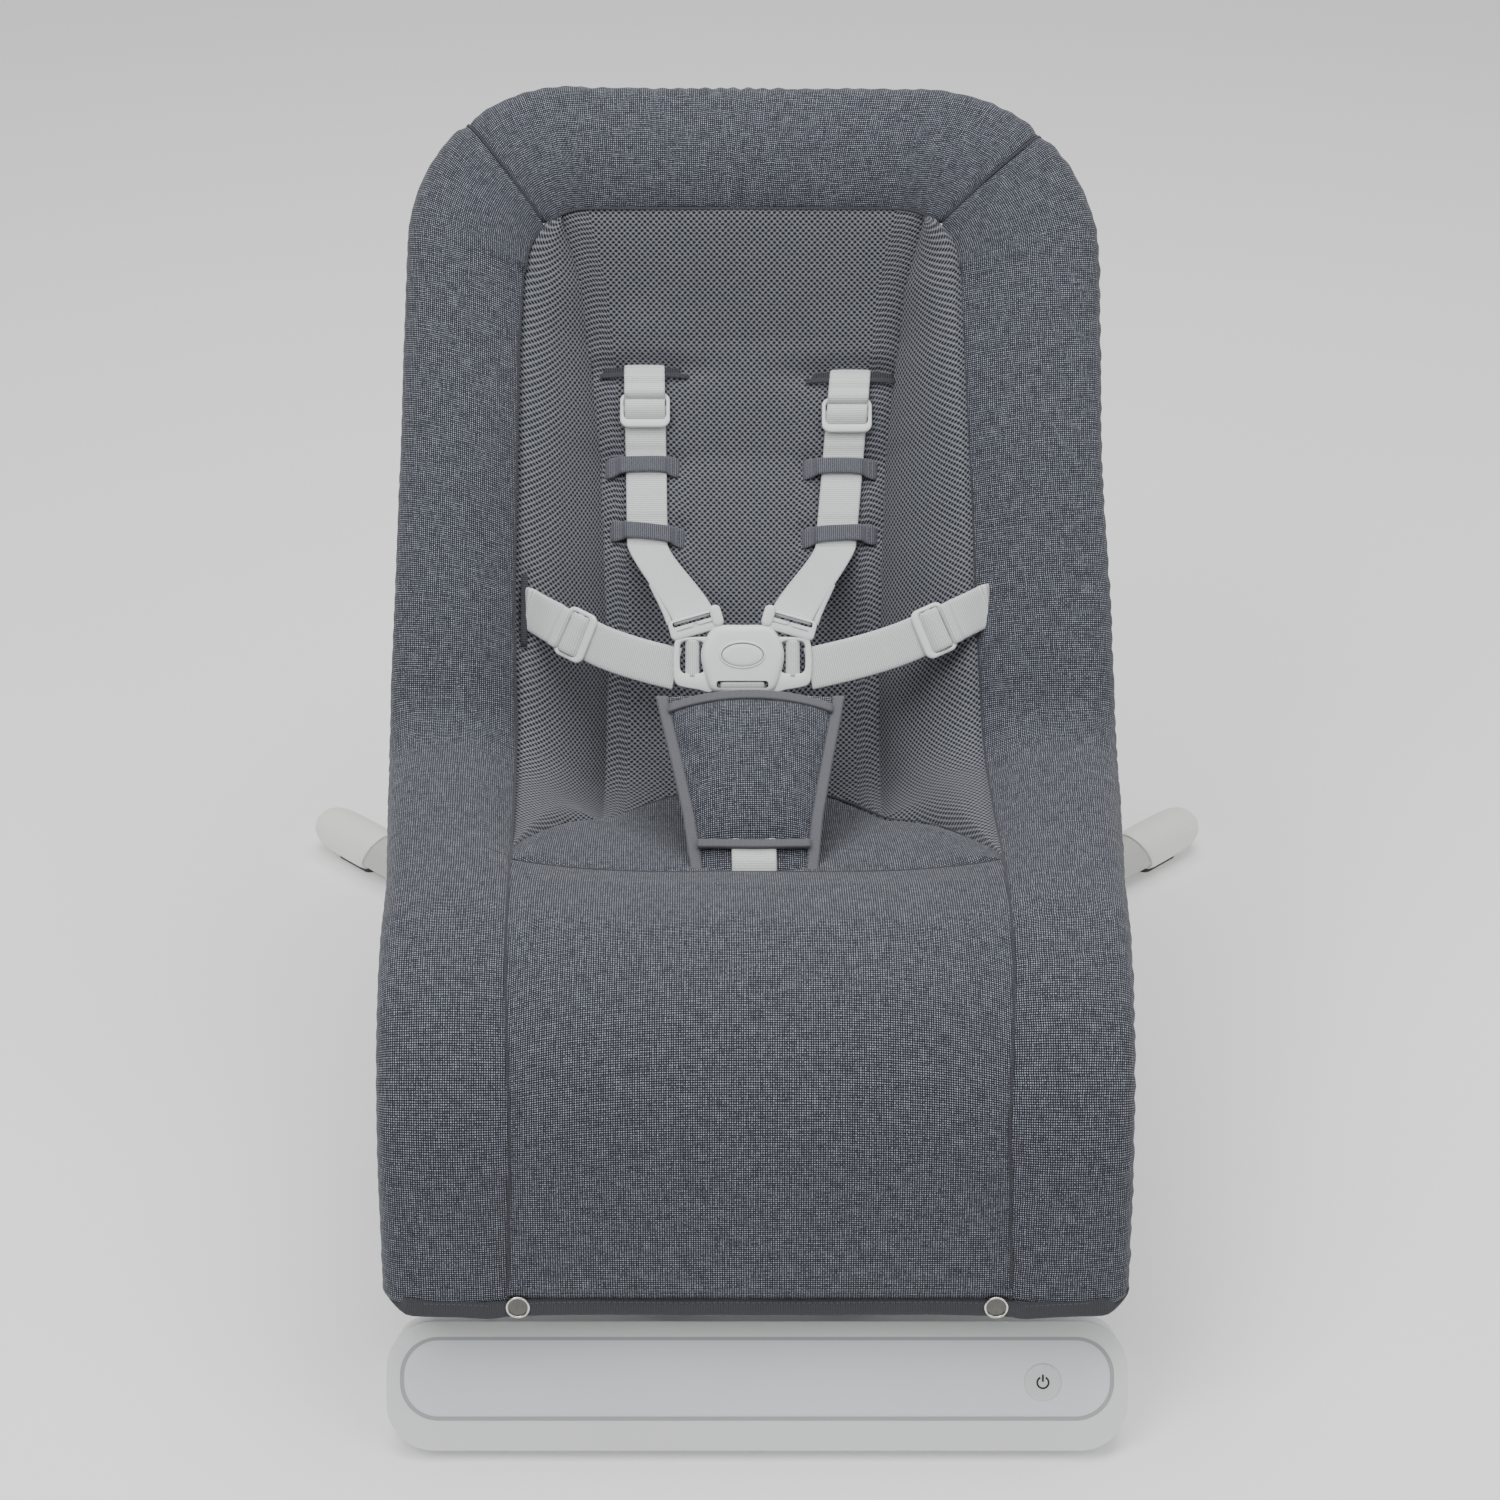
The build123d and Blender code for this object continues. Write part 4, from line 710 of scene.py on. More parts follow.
def legPanel():
    # over the knee, down the front and round the hem tube
    columns, rows = 110, 130
    a, b = np.meshgrid(np.linspace(0, 1, columns), np.linspace(0, 1, rows))
    a = a + 0.62 * (ease(a) - a)
    s = b * (crotchLine(seatX(a, b)) - gap)
    x = seatX(a, b, s)
    edge = np.minimum(np.minimum(a, 1 - a) * (x[:, -1] - x[:, 0])[:, None], (1 - b) * crotchS)
    lift = puffed(x, s, edge, panels["legPuff"], 5.0, 1.0, 2.9)
    front = onSeat(x, s, lift)
    back = onSeat(x, s, lift - 1.8 - (panels["legThickness"] - 1.8) * (1 - np.exp(-edge / 9)))
    turns = np.radians(np.linspace(205, 8, 16))
    hemFront, hemBack = [], []
    y, z, ny, nz = sideAt(0.0)
    for turn in turns:  # from behind the tube, under it, to the front
        for rows2, radius, drop in ((hemFront, 16.6, 15.4), (hemBack, 13.2, 12.2)):
            lift2, down = radius * math.cos(turn), drop * math.sin(turn)
            row = np.stack([x[0], y + lift2 * ny - down * dropUp[0] + 0 * x[0],
                            z + lift2 * nz - down * dropUp[1] + 0 * x[0]], axis=1)
            rows2.append(row)
    front = np.concatenate([np.array(hemFront), front])
    back = np.concatenate([np.array(hemBack), back])
    pad = padFrom("legPanel", front, back, [melange, lining], "seat")
    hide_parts("leg_panel")


legPanel()


# padded rim
rim = {"puff": 2.5, "seamThickness": 5.0, "frontSteps": 18, "wrapSteps": 14, "backSteps": 10,
       "arch": -1.2, "ruffle": 0.6}
# how far the side and top edges stand out beyond an even wrap of the tube
proudAlong = {-1: ([0, 250, 349, 403, 440, 487, 550, 588, 647, 717],
                   [-0.5, 0, 5.5, 9, 9.5, 8.4, 7.5, 6.5, 6, 4.5]),
              1: ([0, 250, 349, 403, 440, 487, 510, 550, 588, 647],
                  [-2, -1.5, 2, 4.2, 4.2, 3, 2, 0, -1.2, -0.6])}
proudTop = ([-150, -100, 60, 110, 150], [3.5, 0, 0, -1.5, -0.6])


def rimSection(outer, inner, normal, seamLift, along, side, proud, fade=1.0, gather=0.0):
    # closed loop: seam, over the front, round the tube, back along the underside
    across = outer - inner
    width = np.linalg.norm(across)
    across = across / width
    loop = []
    crown = seat["crown"]
    for t in np.linspace(0, 1, rim["frontSteps"]) ** 1.5:
        rise = seamLift + (crown - seamLift) * math.sin(t * math.pi / 2) ** 0.75
        rise += rim["puff"] * math.sin(math.pi * t) ** 0.8
        px = -width * (1 - t)
        rise += 0.7 * ripple(along, t * 30, side, 38, 3.3) * min(1, t * 6)
        loop.append((px, rise))
    for k in range(1, rim["wrapSteps"] + 1):
        turn = math.pi / 2 - math.pi * k / rim["wrapSteps"]
        wave = rim["ruffle"] * (1.0 if side > 0 else 0.45) * (
            ripple(along, 0, side, 5.5, 1.7) + 0.6 * math.sin(along / 1.9 + 3 * ripple(along, 3, 0, 30)))
        wave += gather * math.sin(along / 1.35)
        size = crown + (wave + gather + proud) * math.cos(turn)
        squash = 1.0 + 0.06 * math.sin(2 * turn) ** 2
        loop.append((size * math.cos(turn) * squash, crown * math.sin(turn) * squash))
    for t in np.linspace(0, 1, rim["backSteps"] + 1)[1:]:
        under = -crown + (seamLift - rim["seamThickness"] + crown) * ease(t)
        loop.append((-width * t * 0.995, under))
    centre = np.mean(loop, axis=0)
    return [outer + across * (centre[0] + (px - centre[0]) * fade)
            + normal * (centre[1] + (rise - centre[1]) * fade) for px, rise in loop]


def sideStation(s, side):
    y, z, ny, nz = sideAt(s)
    outer = np.array([side * tubeX(y), y, z])
    # the seam's corner can start lower than the tube's, so its points are spread to match
    seamS = s * (insertTopS - seat["seamCorner"]) / (topS - seat["topCorner"][side]) if s > bendS else s
    if bendS < s < bendS + 120:
        seamS = s + (seamS - s) * (s - bendS) / 120
    innerY, innerZ = sideAt(seamS)[:2]
    inner = np.array([side * float(seamX(side, seamS)), innerY, innerZ])
    return outer, inner, np.array([0, ny, nz]), rimSeamLift(seamS)


backNormal = np.array([0, -backDir[1], backDir[0]])


def topStation(x, up):
    # point in the plane of the back, measured from the middle of the top tube
    place = topPoint + backDir * up
    return np.array([x, place[0], place[1]])


def cornerStation(turn, side):
    corner, inner = seat["topCorner"][side], seat["seamCorner"]
    seamSide = float(seamX(side, insertTopS))
    c, s = math.cos(turn), math.sin(turn)
    outer = topStation(side * (seat["backHalf"] - corner + corner * c), -corner + corner * s)
    seam = topStation(side * (seamSide - inner + inner * c), -seat["topBand"] - inner + inner * s)
    return outer, seam, backNormal, rimSeamLift(insertTopS)


mitreTurn = math.radians(47)


def sidePanel(side, name, node):
    loops, along = [], 0.0
    corner = seat["topCorner"][side]
    drops = np.concatenate([[-11.5, -11.0, -9.5, -7, -3], np.arange(0, topS - corner, 3.2)])
    fades = {0: 0.80, 1: 0.90, 2: 0.97}
    for i, s in enumerate(drops):
        outer, inner, normal, seam = sideStation(float(s), side)
        loops.append(rimSection(outer, inner, normal, seam, float(s), side, np.interp(s, *proudAlong[side]),
                                fades.get(i, 1.0)))
        along = float(s)
    for k in range(1, 25):
        turn = mitreTurn * k / 24
        outer, inner, normal, seam = cornerStation(turn, side)
        close = (mitreTurn - turn) * corner
        loops.append(rimSection(outer, inner, normal, seam, along + turn * 90, side,
                                proudAlong[side][1][-1], 0.94 + 0.06 * ease(close / 7)))
    if side < 0:
        loops = [loop[::-1] for loop in loops]
    panel = loft(name, loops, [melange], "seat")
    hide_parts(node)
    return panel


def topPanel():
    loops = []
    for side, order in ((1, range(0, 25)), (-1, range(24, -1, -1))):
        half = []
        for k in order:
            turn = mitreTurn + (math.pi / 2 - mitreTurn) * k / 24
            outer, inner, normal, seam = cornerStation(turn, side)
            close = (turn - mitreTurn) * seat["topCorner"][side]
            half.append(rimSection(outer, inner, normal, seam, side * (300 - turn * 90), 0.3,
                                   np.interp(outer[0], *proudTop), 0.94 + 0.06 * ease(close / 7)))
        if side > 0:
            loops += half
            right, left = seat["backHalf"] - seat["topCorner"][1], seat["topCorner"][-1] - seat["backHalf"]
            innerRight = float(seamX(1, insertTopS)) - seat["seamCorner"]
            innerLeft = seat["seamCorner"] - float(seamX(-1, insertTopS))
            for t in np.linspace(0, 1, 110)[1:-1]:
                x = right + (left - right) * t
                bow = 4 * t * (1 - t)
                outer = topStation(x, rim["arch"] * bow)
                inner = topStation(innerRight + (innerLeft - innerRight) * t, 1.0 * bow - seat["topBand"])
                gather = 0.75 * math.exp(-((x + 20) / 26) ** 2)
                loops.append(rimSection(outer, inner, backNormal, rimSeamLift(insertTopS), x, 0.3,
                                        np.interp(x, *proudTop), gather=gather))
        else:
            loops += half
    panel = loft("rimTop", loops, [melange], "seat")
    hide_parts("rim_panel_top")


def seamShadeStrip(name, centres, normals, width=1.7, thickness=1.0):
    # painted shade: a dark strip laid at the bottom of a seam's valley
    centres = np.asarray(centres, float)
    normals = np.broadcast_to(np.asarray(normals, float), centres.shape)
    across = np.cross(normals, unit(np.gradient(centres, axis=0)))
    flatStrap(name, centres, across, width, thickness, paintedShadeTape)


def seamShadeLines():
    # dark strips of painted shade along the bottoms of the seams' valleys
    seam = {"sideProud": 0.5, "panelProud": 0.35, "mitreProud": 0.35}
    line, normals = [], []
    for side in (-1, 1):  # up one side, round the top and down the other
        half, halfNormals = [], []
        for s in np.arange(-9.0, insertTopS - seat["seamCorner"], 5.0):
            y, z, ny, nz = sideAt(s)
            lift = rimSeamLift(s) + seam["sideProud"]
            half.append((side * float(seamX(side, s)), y + lift * ny, z + lift * nz))
            halfNormals.append((0, ny, nz))
        for turn in np.linspace(0, math.pi / 2, 16):
            outer, inner, normal, lift = cornerStation(turn, side)
            half.append(tuple(inner + normal * (lift + seam["sideProud"])))
            halfNormals.append(tuple(normal))
        line += half if side < 0 else half[::-1]
        normals += halfNormals if side < 0 else halfNormals[::-1]
        # painted shade strip in the mitre's own seam, over the front and round the tube
        outer, inner, normal, lift = cornerStation(mitreTurn, side)
        path = np.array(rimSection(outer, inner, normal, lift, 0, side, proudAlong[side][1][-1], 0.94))
        path = path[1:rim["frontSteps"] + 8]
        out = np.cross(unit(np.gradient(path, axis=0)),
                       np.array([-side * math.sin(mitreTurn), *(backDir * math.cos(mitreTurn))]))
        out *= np.sign(np.dot(out[3], normal))
        seamShadeStrip("mitreSeamShade" + ("Left" if side < 0 else "Right"), path + out * seam["mitreProud"], out)
    seamShadeStrip("rimSeamShade", line, normals)
    for name, lineOf in (("crotchSeamShade", crotchLine), ("insertSeamShade", insertLine)):
        x = np.linspace(-seamX(-1, crotchS) + 2, seamX(1, crotchS) - 2, 90)
        s = lineOf(x)
        points = onSeat(x, s, seatLift(x, s) + seam["panelProud"])
        seamShadeStrip(name, points, [(0, *sideAt(float(v))[2:]) for v in s])


sidePanel(1, "rimRight", "rim_panel_right")
sidePanel(-1, "rimLeft", "rim_panel_left")
topPanel()
seamShadeLines()
print("rim ready")

# hem, binding and snaps
hemPlane = planeAt((0, seat["hemY"], seat["hemZ"]), (0, -dropUp[1], dropUp[0]))
hem = {"bindingWidth": 9.8, "bindingThickness": 4.4, "bindingLift": 14.0, "snapX": 129.0, "snapRadius": 6.3}


def hemBinding():
    half = [(0, -13.6), (100, -13.2), (135, -14.2), (160, -12.8), (184, -12.0), (191.5, -10.4),
            (195.5, -7.4), (196.5, -4.0)]
    line = smoothLine([(-x, y) for x, y in half[:0:-1]] + half, 2.5)
    wave = np.array([0.5 * ripple(x, 0, 0, 24, 5.5) for x in line[:, 0]])
    back = 9.0 * ease((np.abs(line[:, 0]) - 186) / 11) - 3.4 * ease((np.abs(line[:, 0]) - 132) / 14)
    centres = onPlane(hemPlane, np.column_stack([line, hem["bindingLift"] + wave - back]))
    tangent = unit(np.gradient(line, axis=0))
    across = onPlane((np.zeros(3),) + hemPlane[1:], np.column_stack([-tangent[:, 1], tangent[:, 0],
                                                                    0 * tangent[:, 0]]))
    band = flatStrap("hemBinding", centres, across, hem["bindingWidth"], hem["bindingThickness"],
                     bindingTape)
    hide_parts("hem_binding")
    upper = centres + across * (hem["bindingWidth"] / 2 - 1.2)
    upper += hemPlane[3] * (hem["bindingThickness"] / 2 - 0.1)
    stitchRow("hemStitches", upper[8:-8], hemPlane[3], 3.0, 2.1, 0.3)


def hemSnaps():
    for side, name in ((-1, "snapLeft"), (1, "snapRight")):
        outline = ovalOutline(2 * hem["snapRadius"], 2 * hem["snapRadius"], 40, side * hem["snapX"], -12.4)
        base = hem["bindingLift"] + hem["bindingThickness"] / 2 - 0.6
        layers = [(outline, 0.8, base), (outline, 0, base + 0.5), (outline, 0.1, base + 1.1),
                  (outline, 0.5, base + 1.5), (outline, 0.9, base + 1.45), (outline, 1.2, base + 1.0),
                  (outline, 1.6, base + 1.0), (outline, 3.5, base + 1.15), (outline, 5.2, base + 1.2)]
        cap = plate(name, hemPlane, layers, [snapDome], "seat", "snap_metal")
        ring = [(outline, -0.25, base + 0.4), (outline, -0.3, base + 1.3), (outline, 0, base + 1.75),
                (outline, 0.5, base + 1.8), (outline, 0.95, base + 1.4), (outline, 1.0, base + 0.6)]
        plate(name + "Rim", hemPlane, ring, [snapMetal], "seat", "snap_metal", joined=True)
        if side > 0:
            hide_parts("hem_snaps")


hemBinding()
hemSnaps()


# harness
def buckleFinish(name, plane, layers, body="seat", **shape):
    return plate(name, plane, layers, [bucklePlastic], body, "harness_plastic", **shape)


def surfaceLift(x, s):
    # top of the padded insert, near enough for what lies on it
    x, s = np.asarray(x, float), np.asarray(s, float)
    return seatLift(x, s) + panels["backPuff"]


def insertFrame(x, s):
    y, z, ny, nz = sideAt(float(s))
    lift = float(surfaceLift(x, s))
    return np.array([x, y + lift * ny, z + lift * nz]), np.array([0, ny, nz]), np.array([0, nz, -ny])


buckle = {"origin": (-8.5, 9.5, 319.0), "slope": 58.0, "depth": 13.0, "ovalY": 0.6,
          "slotY": -16.6, "connectorX": 27.5, "connectorY": 18.6, "connectorTilt": 16.0, "frameX": 31.5}
bucklePlane = planeAt(buckle["origin"], (0, -math.sin(math.radians(buckle["slope"])),
                                         math.cos(math.radians(buckle["slope"]))))
# path over an adjuster: (along the strap, away from the frame's middle plane)
adjusterRoute = [(15, -0.8), (11.6, 2.3), (8.4, 2.6), (7.1, 0.6), (6.3, -0.6), (5.2, 1.2), (3, 2.4),
                 (0, 2.9), (-3, 2.4), (-5.2, 1.2), (-6.4, -0.8), (-8.5, -2.2), (-12, -2.2), (-16, -1.0)]


def adjuster(name, plane):
    # three-bar slide: frame with a window, the strap wrapped over its middle bar
    outer, inner = roundRect(30.5, 21.5, 5.0, 0, -0.6), roundRect(25.6, 13.6, 2.4, 0, 0.4)
    piece = buckleFinish(name, plane, windowFrame(outer, inner, -1.2, 1.6, 0.9), joined=True)
    bar = [[(25.4 / 2 * end, 1.9 * math.cos(t), 1.1 + 1.6 * math.sin(t)) for t in
            np.linspace(0, 2 * math.pi, 12, endpoint=False)] for end in (-1, 1)]
    loft(name + "Bar", [onPlane(plane, loop) for loop in bar[::-1]], [bucklePlastic], "seat")
    return piece


def shoulderStrap(side, name):
    sideName = "left" if side < 0 else "right"
    x0, s0 = slotStations[sideName]
    slope = (-67.0 + 69.0) / 100 if side < 0 else (48.5 - 57.0) / 100
    route = []
    for below, lift in ((-7, -7), (0, -2.5), (4, 1.6), (8, 2.4)):
        route.append((s0 - below, lift))
    middle = s0 - 25
    route += [(middle + along, 3.6 + lift) for along, lift in adjusterRoute]
    upperKeeper, lowerKeeper = (place[1] for place in (keeperStations[:2] if side < 0 else keeperStations[2:]))
    for ks, offsets in ((upperKeeper, (13, 7, -7, -16)), (lowerKeeper, (13, 7, -7))):
        route += [(ks + offset, 2.2 if abs(offset) == 7 else 3.0) for offset in offsets]
    centres, across = [], []
    for s, lift in route:
        x = x0 + slope * (s0 - s)
        point, normal, up = insertFrame(x, s)
        centres.append(point + normal * lift)
        across.append((1, 0, 0))
    frame = insertFrame(x0 + slope * 25, middle)
    slide = adjuster("shoulderAdjuster" + sideName.title(),
                     planeAt(frame[0] + frame[1] * 3.6, frame[1], (1, 0, 0.0)))
    # down to the connector at the buckle
    last = centres[-1]
    tilt = math.radians(buckle["connectorTilt"])
    goal = onPlane(bucklePlane, (side * (buckle["connectorX"] + 0.8), buckle["connectorY"] + 3.2, 1.2))
    goalAcross = onPlane((np.zeros(3),) + bucklePlane[1:], (math.cos(tilt), -side * math.sin(tilt), 0))
    goalDown = onPlane((np.zeros(3),) + bucklePlane[1:], (-side * math.sin(tilt), -math.cos(tilt), 0))
    start = unit(centres[-1] - centres[-2])
    reach = np.linalg.norm(goal - last)
    for t in np.linspace(0, 1, 12)[1:]:
        centres.append(last * (2 * t ** 3 - 3 * t ** 2 + 1) + start * reach * 0.25 * (t ** 3 - 2 * t ** 2 + t)
                       + goal * (3 * t ** 2 - 2 * t ** 3) + goalDown * reach * 0.35 * (t ** 3 - t ** 2))
        across.append(unit(np.array([1.0, 0, 0]) * (1 - ease(t)) + goalAcross * ease(t)))
    fine = smoothLine(np.column_stack([centres, across]), 1.2)
    strap = webStrap(name, fine[:, :3], fine[:, 3:])
    if side > 0:
        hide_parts("shoulder_straps")
        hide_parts("strap_adjusters")
    # doubled layer behind the last stretch
    tail = fine[-42:].copy()
    fade = np.linspace(0.2, 1, len(tail))
    tail[:, :3] += fade[:, None] * (np.array([side * 4.2, 0, 0]) - bucklePlane[3] * 3.4)
    webStrap(name + "Return", tail[:, :3], tail[:, 3:])


def keepers():
    for number, (x, s) in enumerate(keeperStations):
        tilt = (0.02, -0.11, 0.0, 0.05)[number]
        centres, acrossDirs, widths = [], [], []
        for u, lift, width in ((-22.5, -3.0, 11), (-20.5, -0.2, 12.5), (-17, 0.9, 12.2), (-14.6, 2.6, 11),
                               (-12.5, 4.6, 10.4), (-6, 5.0, 10), (0, 5.0, 10), (6, 5.0, 10), (12.5, 4.6, 10.4),
                               (14.6, 2.6, 11), (17, 0.9, 12.2), (20.5, -0.2, 12.5), (22.5, -3.0, 11)):
            point, normal, up = insertFrame(x + u, s + tilt * u - 1.5 * (abs(u) / 20) ** 3)
            centres.append(point + normal * lift)
            acrossDirs.append(up)
            widths.append(width)
        fine = smoothLine(np.column_stack([centres, acrossDirs, widths]), 1.0)
        band = flatStrap("keeper%d" % (number + 1), fine[:, :3], fine[:, 3:6], fine[:, 6], 1.5, keeperTape)
        if number == 0:
            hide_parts("strap_keepers")
        for end in (-1, 1):  # bar of stitches at each sewn end
            line = [insertFrame(x + end * 18.6, s + tilt * end * 18 + v)[0]
                    + insertFrame(x + end * 18.6, s)[1] * 1.35 for v in np.linspace(-5.5, 4, 8)]
            stitchRow("keeperStitches%d%s" % (number + 1, "ab"[end > 0]), line, insertFrame(x, s)[1], 2.1, 1.5,
                      0.32)


def strapSlots():
    # bound slits where the shoulder straps come through; the dark sunk strip is painted shade in the opening
    for sideName, (x, s) in slotStations.items():
        for name, drop, lift, width, tape in (("SlitShade", 0.0, -3.6, 4.5, paintedShadeTape),
                                              ("Lip", -3.4, 0.2, 3.0, bindingTape)):
            centres, ups = [], []
            for u in np.linspace(-27, 27, 19):
                dip = 1.6 * (abs(u) / 27) ** 4
                point, normal, up = insertFrame(x + u, s + drop - 0.8 * (u / 27) ** 2)
                centres.append(point + normal * (lift - dip))
                ups.append(up)
            flatStrap("strap%s%s" % (name, sideName.title()), centres, ups, width, 1.4, tape)


def waistStrap(side, name):
    sideName = "left" if side < 0 else "right"
    slotS = bendS + 88
    x0 = side * 137.5
    y, z, ny, nz = sideAt(slotS)
    lift = float(seatLift(np.array(x0), np.array(slotS))) + 3.5
    begin = np.array([x0, y + lift * ny, z + lift * nz])
    end = onPlane(bucklePlane, (side * (buckle["frameX"] + 7.0), -7.4, 0.6))
    down = unit(onPlane((np.zeros(3),) + bucklePlane[1:], (0, -1, 0)))
    forward = bucklePlane[3]
    line = []
    for t in np.linspace(0, 1, 40):
        sag = 5.0 * math.sin(math.pi * t)
        bow = 5.0 * math.sin(math.pi * t) + 3.0 * math.exp(-((t - 0.15) / 0.12) ** 2)
        line.append(begin + (end - begin) * t + down * sag + forward * bow)
    line = smoothLine(np.array([begin - forward * 3 + np.array([side * 0.8, 0, 0])] + line), 0.8)
    tangent = unit(np.gradient(line, axis=0))
    upDir = unit(-down - tangent * np.sum(-down * tangent, axis=1)[:, None])
    outDir = np.cross(tangent, upDir) * (1 if side < 0 else -1)
    outDir *= np.sign(np.sum(outDir * forward, axis=1))[:, None]
    length = np.concatenate([[0], np.cumsum(np.linalg.norm(np.diff(line, axis=0), axis=1))])
    middle = 43.0
    steps = np.array([(19, 0)] + adjusterRoute + [(-22, 0)])[::-1]
    offset = np.interp(middle - length, steps[:, 0], steps[:, 1])
    strap = webStrap(name, line + outDir * offset[:, None], upDir)
    index = int(np.searchsorted(length, middle))
    adjuster("waistAdjuster" + sideName.title(), planeAt(line[index], outDir[index],
                                                         np.cross(-tangent[index], outDir[index])))
    if side > 0:
        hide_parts("waist_straps")
    # bound vertical slot with a stitched bar at each end; its dark strip is painted shade in the opening
    rows = []
    for v in np.linspace(-24, 24, 15):
        yy, zz, my, mz = sideAt(slotS + v)
        rise = float(seatLift(np.array(side * 139.5), np.array(slotS + v))) + 2.2 - 2.0 * (abs(v) / 24) ** 4
        rows.append((side * 139.5, yy + rise * my, zz + rise * mz))
    flatStrap("waistSlot" + sideName.title(), rows, (1, 0, 0), 4.0, 1.6, paintedShadeTape)
    for end2, tag in ((0, "a"), (-1, "b")):
        middlePoint = np.array(rows[end2]) + np.array([0, ny, nz]) * 1.6
        bar = [middlePoint + np.array([u, 0, 0]) for u in np.linspace(-4, 4, 6)]
        stitchRow("waistSlotStitches%s%s" % (sideName.title(), tag), bar, (0, ny, nz), 1.3, 1.1, 0.45)


def buckleBody():
    half = smoothLine([(0, 18.4), (12, 18.3), (17.2, 16.6), (21.4, 11.0), (24.0, 4.0), (24.2, -2.0),
                       (22.6, -9.5), (20.6, -16.2), (18.2, -20.2), (14.0, -21.2), (0, -21.4)], 2.2)
    outline = np.concatenate([half, half[-2:0:-1] * [-1, 1]])[::-1]
    angles = np.arctan2(outline[:, 1] - buckle["ovalY"], outline[:, 0])
    oval = np.stack([12.35 * np.cos(angles), buckle["ovalY"] + 6.9 * np.sin(angles)], axis=1)
    low, high = -buckle["depth"] / 2, buckle["depth"] / 2
    layers = [(outline, 2.0, low), (outline, 0.4, low + 0.8), (outline, 0, low + 2),
              (outline, 0, high - 4.0), (outline, 0.25, high - 2.6), (outline, 1.0, high - 1.3),
              (outline, 2.2, high - 0.5),
              (outline, 4.0, high - 0.1), (0.5 * (outline + oval), 0, high + 0.1),
              (oval, -1.4, high + 0.15), (oval, -1.1, high + 0.55), (oval, -0.6, high + 0.75),
              (oval, -0.15, high + 0.55), (oval, 0, high - 0.2), (oval, 0, high - 4.2)]
    body = buckleFinish("buckleBody", bucklePlane, layers)
    slot = helperPrism(bucklePlane, roundRect(30.5, 4.2, 1.6, 0, buckle["slotY"], 4), low - 2, high + 4)
    cutAway(body, [slot])
    body.data.polygons.foreach_set("use_smooth", [True] * len(body.data.polygons))
    body.data.set_sharp_from_angle(angle=math.radians(38))
    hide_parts("buckle_body")
    button = ovalOutline(24.2, 13.3, 48, 0, buckle["ovalY"])
    top = high + 0.35
    press = buckleFinish("releaseButton", bucklePlane, [
        (button, 0.4, high - 2.4), (button, 0.05, high - 2.2), (button, 0.05, top - 0.7),
        (button, 0.35, top - 0.25), (button, 1.2, top), (button, 3.0, top + 0.12)], "buckle_button")
    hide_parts("buckle_button")


def buckleSides():
    for side, tag in ((-1, "Left"), (1, "Right")):
        outer = np.array([(19.0, 11.4), (30, 11.2), (37.5, 10.4), (39.6, 8.4), (40.6, -2), (40.2, -12),
                          (38.4, -16.6), (34, -18.2), (26, -19.6), (17.5, -20.4), (17.0, -6)], float)
        outer = smoothLine(np.vstack([outer, outer[:1]]), 1.6)[:-1]
        middle = np.array([29.4, -3.2])
        angles = np.arctan2(outer[:, 1] - middle[1], outer[:, 0] - middle[0])
        cosines, sines = (np.sign(part) * np.abs(part) ** 0.4 for part in (np.cos(angles), np.sin(angles)))
        inner = np.stack([middle[0] + 7.4 * cosines, middle[1] + 2.6 + 9.6 * sines], axis=1)
        if side < 0:
            outer, inner = outer[::-1] * [-1, 1], inner[::-1] * [-1, 1]
        if np.sum(outer[:, 0] * np.roll(outer[:, 1], -1) - np.roll(outer[:, 0], -1) * outer[:, 1]) < 0:
            outer, inner = outer[::-1], inner[::-1]
        tongue = buckleFinish("tongue" + tag, bucklePlane, windowFrame(outer, inner, -3.4, 3.6, 0.8),
                              joined=True)
        if side > 0:
            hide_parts("buckle_tongues")
        loops, cloth = [], []
        for y in np.linspace(-12.0, 9.4, 16):  # webbing wrapped round the tongue's bar
            turns = [2 * math.pi * k / 20 for k in range(20)]
            cloth += [(y, 4.1 * turn, 0) for turn in turns]
            loops.append([onPlane(bucklePlane, (side * 29.4 + 4.1 * math.cos(turn), y,
                                                0.8 + 3.0 * math.sin(turn))) for turn in turns])
        loft("tongueWrap" + tag, loops, [webbing], "seat", cloth=np.array(cloth))
        # connector of the shoulder strap, hooked over the tongue
        tilt = math.radians(buckle["connectorTilt"]) * -side
        xDir = bucklePlane[1] * math.cos(tilt) + bucklePlane[2] * math.sin(tilt)
        place = planeAt(onPlane(bucklePlane, (side * buckle["connectorX"], buckle["connectorY"], 1.8)),
                        bucklePlane[3], xDir)
        outline = roundRect(31.5, 11.6, 3.0)
        layers = [(outline, 0.8, -3), (outline, 0, -2.2), (outline, 0, 1.4), (outline, 0.3, 2.1),
                  (outline, 1.0, 2.4), (outline, 2.5, 2.45)]
        bar = buckleFinish("connector" + tag, place, layers)
        arrow = np.array([(-11.5, -0.2), (11.5, -0.2), (11.5, 0.8), (1.8, 0.8), (0, 3.4), (-1.8, 0.8),
                          (-11.5, 0.8)]) - [0, 1.4]
        groove = helperPrism(place, arrow, 1.2, 5)
        window = helperPrism(place, roundRect(26.2, 3.2, 1.0, 0, 3.0, 4), -6, 6)
        cutAway(bar, [groove, window])
        bar.data.set_sharp_from_angle(angle=math.radians(35))
        if side > 0:
            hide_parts("shoulder_connectors")
        hook = roundRect(6.6, 12.6, 3.0, -side * 13.2, 1.6, 6)
        buckleFinish("connectorHook" + tag, place, [
            (hook, 0.6, -3.2), (hook, 0, -2.4), (hook, 0, 2.6), (hook, 0.4, 3.3), (hook, 1.2, 3.6),
            (hook, 2.4, 3.7)])


